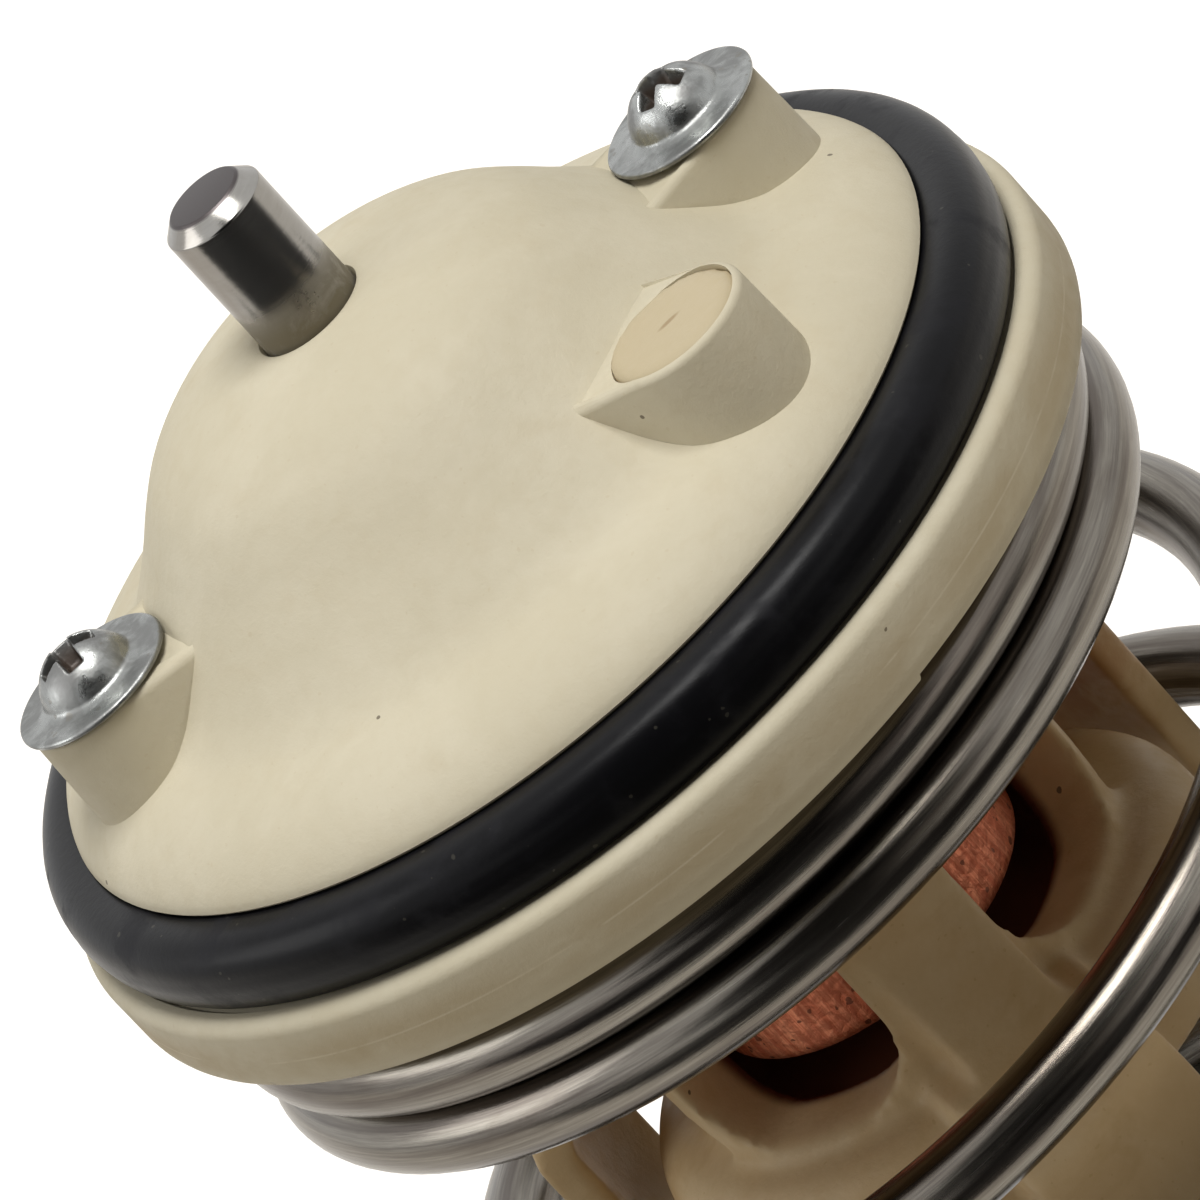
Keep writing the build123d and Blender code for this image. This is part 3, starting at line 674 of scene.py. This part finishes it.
cup = turn("copper_cup", cup_section, steps=128, solid_core=True)
soften(cup)
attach(cup, "insert")
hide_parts("wax_cup")
report(cup)

# %% [markdown]
# ## Cap screws
# Each screw has a wide washer formed with its head. The domed head carries a cross recess whose
# walls are worn: the recess is cut as a tapered cross and its rim is rounded over.

# %% Cap screws
SHANK_R, SHANK_LOW_Z = 2.0, BOSS_TOP_Z - 27.5
WASHER_R, WASHER_EDGE, HEAD_R = 4.7, 0.2, 2.9
HEAD_LOW_Z, HEAD_TOP_Z = BOSS_TOP_Z + 0.4, BOSS_TOP_Z + 2.8
# the cross recess: an arm's length, its width and its height, at the rim and at the bottom
RIM_CROSS, LOW_CROSS = (4.7, 1.25, HEAD_TOP_Z + 0.3), (2.2, 0.75, HEAD_TOP_Z - 1.8)
SCREW_VOXEL = 0.085
SCREW_TWISTS = (41.5, -3.5)


def cross_tool():
    """A cross-shaped punch, narrow at the bottom, that leaves the recess."""
    arms = []
    for quarter in (0, 90):
        start_clean()
        bpy.ops.mesh.primitive_cube_add(size=1, location=(0, 0, 0))
        arm = bpy.context.object
        for vertex in arm.data.vertices:
            length, width, height = RIM_CROSS if vertex.co.z > 0 else LOW_CROSS
            vertex.co = (vertex.co.x * length * MM, vertex.co.y * width * MM, height * MM)
        arms.append(swung(arm, quarter))
    combine(arms[0], arms[1], "UNION")
    return arms[0]


head_ball = (HEAD_R**2 + (HEAD_TOP_Z - HEAD_LOW_Z)**2) / (2 * (HEAD_TOP_Z - HEAD_LOW_Z))
head_edge = math.degrees(math.asin(HEAD_R / head_ball))
head_section = corner((0, HEAD_TOP_Z - head_ball), head_ball, 90, 90 - head_edge * 0.93, 14)
head_section += [(HEAD_R + 0.1, HEAD_LOW_Z + 0.16), (HEAD_R + 0.45, HEAD_LOW_Z + 0.04),
                 (HEAD_R + 1.1, HEAD_LOW_Z)]
head_section += corner((WASHER_R - WASHER_EDGE, BOSS_TOP_Z + WASHER_EDGE), WASHER_EDGE, 90, -90, 8)
head_section += [(0, BOSS_TOP_Z)]
screw = turn("washer_screw", head_section, steps=96, solid_core=True)
combine(screw, cross_tool(), "DIFFERENCE")
melt(screw, SCREW_VOXEL, rounds=3)
shank_section = [(0, BOSS_TOP_Z + 0.2), (SHANK_R, BOSS_TOP_Z + 0.2), (SHANK_R, SHANK_LOW_Z + 1.2),
                 (SHANK_R - 0.7, SHANK_LOW_Z), (0, SHANK_LOW_Z)]
screw = joined([screw, turn("shank", shank_section, steps=48, solid_core=True)])
soften(screw, 50)
for number, (angle, twist) in enumerate(zip(SCREW_ANGLES, SCREW_TWISTS), start=1):
    take(screw)
    bpy.ops.object.duplicate()
    placed = bpy.context.object
    placed.name = f"washer_screw_{number}"
    placed.location = at(POSTS_R, angle)
    swung(placed, twist)
    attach(placed, "insert")
    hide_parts(f"cap_screw_{number}")
    report(placed)
bpy.data.objects.remove(screw)

# %% [markdown]
# ## Finishes
# Three node groups are shared: clouds of stain, small specks, and fine drag marks. Each takes a
# place vector and gives back only a mask or a height, so the shader stays in each material.

# %% Finish helpers: nodes and arithmetic
def node(tree, kind, **settings):
    """Adds a node. A setting named like a socket sets that socket, and any other sets the node."""
    made = tree.nodes.new(kind)
    for key, value in settings.items():
        if key in made.inputs:
            made.inputs[key].default_value = value
        else:
            setattr(made, key, value)
    return made


def feed(tree, socket, value):
    """Gives an input socket a number, a colour or another node's output."""
    if isinstance(value, bpy.types.NodeSocket):
        tree.links.new(value, socket)
    else:
        socket.default_value = (*value, 1) if isinstance(value, tuple) else value


def math_node(tree, operation, a, b):
    """One arithmetic step on two values, each a socket or a number."""
    made = node(tree, "ShaderNodeMath", operation=operation)
    for socket, value in zip(made.inputs, (a, b)):
        feed(tree, socket, value)
    return made.outputs[0]


def ramp(tree, source, low, high, to_low=0.0, to_high=1.0):
    """Stretches a value between two ends, with a smooth step."""
    made = node(tree, "ShaderNodeMapRange", interpolation_type="SMOOTHSTEP")
    for name, value in (("Value", source), ("From Min", low), ("From Max", high),
                        ("To Min", to_low), ("To Max", to_high)):
        feed(tree, made.inputs[name], value)
    return made.outputs["Result"]


def mixed(tree, factor, a, b):
    """Mixes two colours, each a socket or a tuple, by a mask."""
    made = node(tree, "ShaderNodeMix", data_type="RGBA")
    for index, value in ((0, factor), (6, a), (7, b)):
        feed(tree, made.inputs[index], value)
    return made.outputs[2]


# %% Finish groups: clouds, specks and drag marks
def new_group(name, outputs, **numbers):
    """An empty group with a place and some numbers going in, and values coming out."""
    tree = bpy.data.node_groups.new(name, "ShaderNodeTree")
    tree.interface.new_socket(name="Place", in_out="INPUT", socket_type="NodeSocketVector")
    for key, value in numbers.items():
        socket = tree.interface.new_socket(name=key, in_out="INPUT", socket_type="NodeSocketFloat")
        socket.default_value = value
    for key in outputs:
        tree.interface.new_socket(name=key, in_out="OUTPUT", socket_type="NodeSocketFloat")
    return tree, tree.nodes.new("NodeGroupInput").outputs, tree.nodes.new("NodeGroupOutput").inputs


def noise_group(name, low, high, **look):
    """A group that gives a noise's height, and a mask that rises between two levels of it."""
    tree, start, end = new_group(name, ("Mask", "Height"), Scale=100.0, Low=low, High=high)
    noise = node(tree, "ShaderNodeTexNoise", **look)
    tree.links.new(start["Place"], noise.inputs["Vector"])
    tree.links.new(start["Scale"], noise.inputs["Scale"])
    height = noise.outputs["Fac"]
    tree.links.new(ramp(tree, height, start["Low"], start["High"]), end["Mask"])
    tree.links.new(height, end["Height"])
    return tree


clouds = noise_group("stain_clouds", 0.45, 0.6, Detail=5.0, Roughness=0.62, Distortion=0.4)
drags = noise_group("drag_marks", 0.5, 0.7, Detail=6.0, Roughness=0.7)

specks, start, end = new_group("small_specks", ("Mask",), Scale=600.0, Size=0.2, Share=0.3)
cells = node(specks, "ShaderNodeTexVoronoi", feature="F1")
warp = node(specks, "ShaderNodeTexNoise", Detail=2.0)
nudge = node(specks, "ShaderNodeVectorMath", operation="MULTIPLY_ADD")
nudge.inputs[1].default_value = (0.0004, 0.0004, 0.0004)
pick = node(specks, "ShaderNodeSeparateColor")
for source, socket in (
        (start["Place"], warp.inputs["Vector"]), (start["Scale"], warp.inputs["Scale"]),
        (warp.outputs["Color"], nudge.inputs[0]), (start["Place"], nudge.inputs[2]),
        (nudge.outputs["Vector"], cells.inputs["Vector"]), (start["Scale"], cells.inputs["Scale"]),
        (cells.outputs["Color"], pick.inputs["Color"])):
    specks.links.new(source, socket)
reach = math_node(specks, "MULTIPLY", pick.outputs["Green"], start["Size"])
near = math_node(specks, "LESS_THAN", cells.outputs["Distance"], reach)
chosen = math_node(specks, "LESS_THAN", pick.outputs["Red"], start["Share"])
specks.links.new(math_node(specks, "MULTIPLY", chosen, near), end["Mask"])
print("finish groups:", clouds.name, specks.name, drags.name)


# %% Finish helpers: a material in the making
class Finish:
    """A material, with the place its patterns read and the colour that has been built up so far."""

    def __init__(self, name, colour, roughness, metallic=0.0, uv=None):
        self.material = bpy.data.materials.new(name)
        self.material.use_nodes = True
        self.tree = self.material.node_tree
        self.shader = self.tree.nodes["Principled BSDF"]
        self.colour = colour
        for socket, value in (("Base Color", colour), ("Roughness", roughness), ("Metallic", metallic)):
            self.set(socket, value)
        if uv:
            self.place = node(self.tree, "ShaderNodeUVMap", uv_map=uv).outputs["UV"]
        else:
            self.place = node(self.tree, "ShaderNodeTexCoord").outputs["Object"]

    def set(self, socket, value):
        """Sets one of the shader's inputs, or drives it from a node's output."""
        feed(self.tree, self.shader.inputs[socket], value)

    def vary(self, socket, mask, low, high, first=0, last=1):
        """Drives one of the shader's inputs from low to high as a mask goes from first to last."""
        self.set(socket, ramp(self.tree, mask, first, last, low, high))

    def times(self, a, b):
        """One mask times another mask or an amount."""
        return math_node(self.tree, "MULTIPLY", a, b)

    def plus(self, a, b):
        """One value and another added."""
        return math_node(self.tree, "ADD", a, b)

    def vector(self, operation, a, b=None):
        """A vector step on a place. The second value is a place in metres."""
        made = node(self.tree, "ShaderNodeVectorMath", operation=operation)
        self.tree.links.new(a, made.inputs[0])
        if b:
            made.inputs[1].default_value = b
        return made.outputs["Value" if operation in ("LENGTH", "DISTANCE") else "Vector"]

    def stretched(self, scale, turn=(0, 0, 0), place=None):
        """A place that runs slower or faster along each axis."""
        made = node(self.tree, "ShaderNodeMapping")
        made.inputs["Scale"].default_value = scale
        made.inputs["Rotation"].default_value = turn
        self.tree.links.new(place or self.place, made.inputs["Vector"])
        return made.outputs["Vector"]

    def pattern(self, group, scale=None, turn=(0, 0, 0), **values):
        """Lays a shared group over the place, which may be stretched, and gives its outputs."""
        made = node(self.tree, "ShaderNodeGroup", node_tree=group)
        self.tree.links.new(self.stretched(scale, turn) if scale else self.place, made.inputs["Place"])
        for key, value in values.items():
            made.inputs[key].default_value = value
        return made.outputs

    def mask(self, group, scale=None, turn=(0, 0, 0), **values):
        """The mask of a shared group's pattern."""
        return self.pattern(group, scale, turn, **values)["Mask"]

    def band(self, low, high, soft):
        """A mask that is 1 between two heights in mm, with soft ends."""
        split = node(self.tree, "ShaderNodeSeparateXYZ")
        self.tree.links.new(self.place, split.inputs["Vector"])
        rise = ramp(self.tree, split.outputs["Z"], (low - soft) * MM, (low + soft) * MM)
        return self.times(rise, self.fading(split.outputs["Z"], high - soft, high + soft))

    def fading(self, distance, first, last, amount=1):
        """A mask that falls from an amount to 0 as a distance goes from first to last, in mm."""
        return ramp(self.tree, distance, first * MM, last * MM, amount, 0)

    def wash(self, mask, amount, paint):
        """Lays a paint over the colour so far, by a mask times an amount or another mask."""
        self.colour = mixed(self.tree, self.times(mask, amount), self.colour, paint)
        self.set("Base Color", self.colour)

    def bump(self, height, distance, strength=1.0):
        """Turns a height into the shader's normal, with the distance in metres."""
        made = node(self.tree, "ShaderNodeBump", Strength=strength, Distance=distance)
        self.tree.links.new(height, made.inputs["Height"])
        self.set("Normal", made.outputs["Normal"])


# %% [markdown]
# ### The two mouldings
# Glass-filled plastic that has lived in hot coolant goes chalky. It has a fine sandy grain, pale
# and brown clouds, pinhead specks and short scuffs. The cap is creamier, and the cage is tanned;
# the cage's deeper, more saturated tan is partly painted warm bounce light and shade.

# %% Finish: cap and cage plastic
def moulding(name, base, pale, stain, dark, stain_amount, rough):
    """Aged plastic: a base with pale and brown clouds, specks, scuffs and a sandy grain."""
    plastic = Finish(name, base, rough)
    sand = plastic.mask(clouds, Scale=900.0, Low=0.35, High=0.75)
    scuffs = plastic.mask(drags, (1, 7, 7), (0.3, 0.5, 0.9), Scale=260.0, Low=0.66, High=0.8)
    plastic.wash(plastic.mask(clouds, Scale=90.0, Low=0.42, High=0.68), 1, pale)
    plastic.wash(plastic.mask(clouds, (1, 1, 1.6), Scale=150.0, Low=0.52, High=0.78), stain_amount, stain)
    plastic.wash(sand, 0.1, stain)
    plastic.wash(scuffs, 0.08, pale)
    plastic.wash(plastic.mask(specks, Scale=2400.0, Size=0.26, Share=0.16), 0.3, stain)
    plastic.wash(plastic.mask(specks, Scale=905.0, Size=0.17, Share=0.03), 0.75, dark)
    plastic.set("Specular IOR Level", 0.25)
    plastic.vary("Roughness", sand, rough - 0.05, rough + 0.07)
    grain = plastic.pattern(drags, Scale=2600.0, Low=0.3, High=0.7)["Height"]
    plastic.bump(plastic.plus(grain, plastic.times(sand, 0.25)), 0.00003)
    return plastic


cream = moulding(
    "cap_plastic", base=(0.60, 0.55, 0.415), pale=(0.64, 0.59, 0.455), stain=(0.54, 0.46, 0.31),
    dark=(0.08, 0.055, 0.035), stain_amount=0.3, rough=0.62)
# the flange's side is browned in its middle, partly a brown stain and partly painted shade on this downward
# side, and the die left a broken, pale seam round it
low_side = cream.band(FLANGE_LOW_Z + 1.5, GROOVE_LOW_Z - 1.2, 0.9)
browned_and_shaded = cream.mask(clouds, (1, 1, 2), Scale=110.0, Low=0.2, High=0.62)
cream.wash(cream.times(low_side, browned_and_shaded), 0.6, (0.42, 0.33, 0.19))
seam = cream.band(SEAM_Z - 0.05, SEAM_Z + 0.05, 0.05)
broken = cream.mask(clouds, Scale=140.0, Low=0.42, High=0.55)
cream.wash(cream.times(seam, broken), 0.6, (0.66, 0.60, 0.46))
grime = cream.mask(specks, Scale=800.0, Size=0.26, Share=0.08)
cream.wash(cream.times(grime, low_side), 0.7, (0.10, 0.06, 0.035))

# the cage's base is a deeper, more saturated tan than the cap's, partly painted warm bounce light and shade
cage_tan_and_bounce = moulding(
    "cage_plastic", base=(0.64, 0.47, 0.26), pale=(0.69, 0.54, 0.33), stain=(0.45, 0.29, 0.12),
    dark=(0.05, 0.035, 0.02), stain_amount=0.4, rough=0.5)
# the peg's end is a freshly broken gate: peach-coloured, with a small scar in its middle
cage_tan_and_bounce.wash(cage_tan_and_bounce.band(LIP_Z + 8.0, LIP_Z + 9.0, 0.15), 1, (0.53, 0.45, 0.30))
from_gate = cage_tan_and_bounce.vector("SUBTRACT", cage_tan_and_bounce.place, at(POSTS_R, PEG_ANGLE, BOSS_TOP_Z))
from_gate = cage_tan_and_bounce.vector("LENGTH", cage_tan_and_bounce.stretched((1, 3.4, 1), (0, 0, 0.1), from_gate))
cage_tan_and_bounce.wash(cage_tan_and_bounce.fading(from_gate, 0.35, 0.95, 0.7), 1, (0.30, 0.20, 0.10))
# painted reddish-brown shade lies on the inside of the rear arm on the right
from_arm_shade = cage_tan_and_bounce.vector("DISTANCE", cage_tan_and_bounce.place, at(19, REAR_ANGLES[0], LIP_Z - 33))
ragged = cage_tan_and_bounce.mask(clouds, Scale=260.0, Low=0.3, High=0.6)
cage_tan_and_bounce.wash(cage_tan_and_bounce.fading(from_arm_shade, 4, 10, 0.75), ragged, (0.42, 0.19, 0.06))
# inside the tube, the plastic gets a painted dark red-brown shade, and its shine is taken off
from_axis = cage_tan_and_bounce.vector("LENGTH", cage_tan_and_bounce.stretched((1, 1, 0)))
inside = cage_tan_and_bounce.band(FLOOR_Z - 0.5, FLANGE_LOW_Z, 0.4)
inside = cage_tan_and_bounce.times(cage_tan_and_bounce.fading(from_axis, 10.7, 11.6), inside)
cage_tan_and_bounce.wash(inside, 1, (0.16, 0.055, 0.028))
cage_tan_and_bounce.vary("Specular IOR Level", inside, 0.25, 0)
print("mouldings:", cream.material.name, cage_tan_and_bounce.material.name)

# %% [markdown]
# ### Rubber and metals
# Black rubber shows a faint dusty bloom. Spring wire has long bright and dull streaks left by the
# drawing die, so its pattern follows the wire's own UV map, far slower along it than round it.

# %% Finish: rubber
rubber = Finish("black_rubber", (0.004, 0.004, 0.005), 0.38)
rubber.set("Specular IOR Level", 0.12)
bloom = rubber.mask(clouds, Scale=260.0, Low=0.45, High=0.75)
rubber.wash(bloom, 0.5, (0.010, 0.010, 0.013))
rubber.wash(rubber.mask(specks, Scale=1300.0, Size=0.2, Share=0.25), 0.35, (0.09, 0.085, 0.07))
rubber.vary("Roughness", bloom, 0.3, 0.5)
rubber.bump(rubber.pattern(drags, Scale=1800.0)["Height"], 0.000015)

# %% Finish: spring wire
wire_steel = Finish("spring_steel", (0.12, 0.105, 0.092), 0.2, 1.0, uv="wire")
long_marks = wire_steel.pattern(drags, (0.02, 9, 1), Scale=1.0, Low=0.38, High=0.62)
fine_marks = wire_steel.pattern(drags, (0.1, 60, 1), Scale=1.0, Low=0.42, High=0.65)
patches = wire_steel.mask(clouds, (0.05, 2.5, 1), Scale=1.0, Low=0.45, High=0.62)
wire_steel.wash(long_marks["Mask"], 1, (0.27, 0.25, 0.215))
wire_steel.wash(fine_marks["Mask"], 0.3, (0.07, 0.058, 0.05))
wire_steel.wash(patches, 0.35, (0.08, 0.06, 0.045))
wire_steel.vary("Roughness", long_marks["Height"], 0.12, 0.3, first=0.3, last=0.7)
wire_steel.bump(fine_marks["Height"], 0.00003, 0.4)

# %% Finish: piston
piston_steel = Finish("piston_steel", (0.34, 0.33, 0.31), 0.2, 1.0)
rings = piston_steel.pattern(drags, (1, 1, 14), Scale=240.0, Low=0.3, High=0.7)
film = piston_steel.mask(clouds, (1, 1, 0.3), Scale=260.0, Low=0.4, High=0.7)
rust = piston_steel.times(piston_steel.band(LIP_Z + 12, LIP_Z + 17.3, 1.5),
                          piston_steel.mask(clouds, Scale=420.0, Low=0.22, High=0.5))
flat_end = piston_steel.band(LIP_Z + 23.75, LIP_Z + 25, 0.06)
piston_steel.wash(rings["Mask"], 0.3, (0.25, 0.24, 0.22))
piston_steel.wash(film, 0.5, (0.22, 0.19, 0.16))
piston_steel.wash(flat_end, 1, (0.085, 0.075, 0.075))
piston_steel.wash(rust, 0.85, (0.15, 0.125, 0.07))
worn = math_node(piston_steel.tree, "MAXIMUM", rust, piston_steel.times(flat_end, 0.45))
piston_steel.vary("Roughness", worn, 0.17, 0.7)
piston_steel.vary("Metallic", rust, 1, 0.3)
piston_steel.bump(rings["Height"], 0.00001)

# %% Finish: zinc screws
zinc = Finish("zinc_steel", (0.19, 0.19, 0.185), 0.3, 1.0)
wear = zinc.mask(clouds, Scale=420.0, Low=0.4, High=0.65)
zinc.wash(wear, 1, (0.38, 0.39, 0.38))
zinc.wash(zinc.mask(specks, Scale=1600.0, Size=0.4, Share=0.25), 0.5, (0.18, 0.16, 0.13))
zinc.wash(zinc.band(BOSS_TOP_Z, HEAD_LOW_Z + 1.2, 0.25), 0.25, (0.24, 0.25, 0.24))
# dirt and rust gather in the cross recess; the two screws mirror each other, so one place serves both
mirrored = zinc.vector("ABSOLUTE", zinc.stretched((1, 1, 0)))
from_screw = zinc.vector("DISTANCE", mirrored, (POSTS_R * MM, 0, 0))
dirt = zinc.times(zinc.fading(from_screw, 1.3, 1.9), zinc.band(HEAD_TOP_Z - 2.5, HEAD_TOP_Z - 0.8, 0.25))
zinc.wash(dirt, 0.85, (0.07, 0.045, 0.03))
zinc.vary("Metallic", dirt, 1, 0.2)
zinc.vary("Roughness", wear, 0.42, 0.24)
zinc.bump(zinc.pattern(drags, Scale=1500.0)["Height"], 0.00004)

# %% Finish: copper
copper = Finish("copper", (0.62, 0.165, 0.08), 0.5, 0.6)
marks = copper.pattern(drags, (6, 6, 0.4), Scale=420.0, Low=0.4, High=0.66)
grains = copper.mask(clouds, Scale=1500.0, Low=0.38, High=0.62)
copper.wash(marks["Mask"], 1, (0.95, 0.38, 0.21))
copper.wash(grains, 0.4, (0.28, 0.07, 0.035))
copper.wash(copper.mask(clouds, Scale=420.0, Low=0.5, High=0.68), 0.3, (0.14, 0.045, 0.025))
copper.wash(copper.mask(specks, Scale=1700.0, Size=0.42, Share=0.3), 0.75, (0.10, 0.03, 0.015))
copper.vary("Roughness", grains, 0.4, 0.6)
copper.bump(copper.plus(marks["Height"], grains), 0.000025)


# %% Finish: the seat and the pieces inside
def plain_metal(name, dull, bright, roughness, scale):
    """Turned or pressed metal, with drag marks round it and a dull cloud."""
    metal = Finish(name, dull, roughness, 1.0)
    marks = metal.pattern(drags, scale, Scale=200.0, Low=0.35, High=0.65)
    cloud = metal.mask(clouds, Scale=180.0, Low=0.4, High=0.65)
    metal.wash(marks["Mask"], 1, bright)
    metal.wash(cloud, 0.5, dull)
    metal.vary("Roughness", cloud, roughness, roughness + 0.2)
    metal.bump(marks["Height"], 0.00004)
    return metal


def plain_soft(name, base, shade, roughness):
    """A hidden soft or waxy piece: clouded colour and a fine grain."""
    soft = Finish(name, base, roughness)
    soft.wash(soft.mask(clouds, Scale=300.0, Low=0.35, High=0.7), 1, shade)
    soft.bump(soft.pattern(drags, Scale=1200.0)["Height"], 0.00005)
    return soft


pressed_steel = plain_metal("pressed_steel", (0.26, 0.25, 0.23), (0.46, 0.45, 0.43), 0.38, (1, 1, 8))
brass = plain_metal("brass", (0.38, 0.25, 0.09), (0.62, 0.45, 0.18), 0.3, (1, 1, 20))
wax = plain_soft("wax", (0.28, 0.20, 0.10), (0.36, 0.24, 0.11), 0.6)
white_washer = plain_soft("pale_plastic", (0.68, 0.68, 0.66), (0.6, 0.6, 0.57), 0.4)

# %% Each piece gets its finish
def dress(piece, finish):
    """Gives a piece one finish all over."""
    piece.data.materials.clear()
    piece.data.materials.append(finish.material)


for piece, finish in ((cap, cream), (cage, cage_tan_and_bounce), (ring, rubber), (coil, wire_steel),
                      (seat, pressed_steel), (piston, piston_steel), (cup, copper)):
    dress(piece, finish)
for number in (1, 2):
    dress(bpy.data.objects[f"washer_screw_{number}"], zinc)
for name, finish in (("wax_charge", wax), ("rubber_boot", rubber), ("backing_washer", white_washer),
                     ("piston_guide", brass), ("piston_wiper", rubber)):
    dress(frame["nodes"][name], finish)
print("finishes:", len(bpy.data.materials))

# %% [markdown]
# ## Floor, light and camera
# The floor is pale and keeps the shadow. Seen straight by the camera or in a reflection, the
# floor and the sky are both white. The key light is high on the left, with a soft fill.

# %% Floor and sky
def seen_mask(tree):
    """The Light Path node's outputs, and a mask of the rays that see a thing straight or mirrored."""
    rays = node(tree, "ShaderNodeLightPath").outputs
    seen = math_node(tree, "MAXIMUM", rays["Is Camera Ray"], rays["Is Transmission Ray"])
    return rays, math_node(tree, "MAXIMUM", seen, rays["Is Glossy Ray"])


SEEN_GLOW, CAMERA_GLOW, FLOOR_GAP = 0.6, 0.22, 0.2
start_clean()
bpy.ops.mesh.primitive_plane_add(size=6, location=(0, 0, -FLOOR_GAP * MM))
floor = bpy.context.object
floor.name = "floor"
paper = Finish("paper", (0.42, 0.38, 0.32), 0.9)
rays, seen = seen_mask(paper.tree)
paper.set("Emission Color", (1.0, 1.0, 1.0))
glow = paper.plus(paper.times(seen, SEEN_GLOW), paper.times(rays["Is Camera Ray"], CAMERA_GLOW))
paper.set("Emission Strength", glow)
dress(floor, paper)

world = bpy.data.worlds.new("sky")
bpy.context.scene.world = world
world.use_nodes = True
tree = world.node_tree
rays, seen = seen_mask(tree)
soft_sky = tree.nodes["Background"]
soft_sky.inputs["Color"].default_value = (1.0, 0.93, 0.83, 1)
soft_sky.inputs["Strength"].default_value = 0.2
white_sky = node(tree, "ShaderNodeBackground", Color=(1, 1, 1, 1), Strength=1.0)
choose = node(tree, "ShaderNodeMixShader")
for socket, source in zip(choose.inputs, (seen, soft_sky.outputs[0], white_sky.outputs[0])):
    tree.links.new(source, socket)
tree.links.new(choose.outputs[0], tree.nodes["World Output"].inputs["Surface"])

# %% Camera
LEAN, TILT, TURN = math.radians(42.6), math.radians(25.15), math.radians(3.5)
DISTANCE, FRAME_WIDTH, SENSOR = 0.6, 0.06283, 36
AIM_ACROSS, AIM_Z = 0.00101, (LIP_Z - 8.13) * MM
across = Vector((math.cos(TURN), -math.sin(TURN), 0))
away = Vector((math.sin(TURN), math.cos(TURN), 0))
upright = Vector((0, 0, 1)) * math.cos(TILT) + away * math.sin(TILT)
looking = away * math.cos(TILT) - Vector((0, 0, 1)) * math.sin(TILT)
right = across * math.cos(LEAN) - upright * math.sin(LEAN)
up = across * math.sin(LEAN) + upright * math.cos(LEAN)
aim = across * AIM_ACROSS + Vector((0, 0, AIM_Z))
bpy.ops.object.camera_add(location=aim - looking * DISTANCE)
camera = bpy.context.object
camera.name = "lens"
camera.rotation_euler = Matrix((right, up, -looking)).transposed().to_euler()
camera.data.sensor_width = SENSOR
camera.data.lens = SENSOR * DISTANCE / FRAME_WIDTH
camera.data.clip_start = 0.01
bpy.context.scene.camera = camera


# %% Lights
def softbox(name, offset, size, power, colour=(1, 1, 1)):
    """A square soft light that faces the insert from an offset in the picture's own axes."""
    place = aim + right * offset[0] + up * offset[1] - looking * offset[2]
    bpy.ops.object.light_add(type="AREA", location=place)
    lamp = bpy.context.object
    lamp.name = name
    lamp.data.size = size
    lamp.data.energy = power
    lamp.data.color = colour
    lamp.rotation_euler = (aim - place).to_track_quat("-Z", "Y").to_euler()


softbox("key", (-0.30, 0.55, 0.45), size=0.35, power=4.9, colour=(1.0, 0.99, 0.97))
softbox("fill", (0.5, 0.1, 0.6), size=0.6, power=0.3, colour=(1.0, 0.95, 0.88))
softbox("rim", (-0.55, -0.1, 0.1), size=0.35, power=0.9)
bpy.context.scene.view_settings.view_transform = "Standard"

# %% [markdown]
# ### Dark cloths
# Bright metal shows what stands before it. One cloth hangs behind the lens and one lies in front
# of the insert, and they give the wire and the piston their dark side. Only reflections see them.

# %% Dark cloths
felt = Finish("felt", (0.02, 0.02, 0.02), 1.0)


def cloth(name, width, place, turned):
    """A square dark cloth that only shows in reflections."""
    start_clean()
    bpy.ops.mesh.primitive_plane_add(size=width, location=place, rotation=turned)
    sheet = bpy.context.object
    sheet.name = name
    for ray in ("camera", "diffuse", "shadow", "transmission"):
        setattr(sheet, f"visible_{ray}", False)
    dress(sheet, felt)


cloth("hung_cloth", 1.5, aim - looking * 1.1, camera.rotation_euler)
cloth("laid_cloth", 1.6, Vector((0, 0, 0.0002)) - away * 0.87, (0, 0, -TURN))
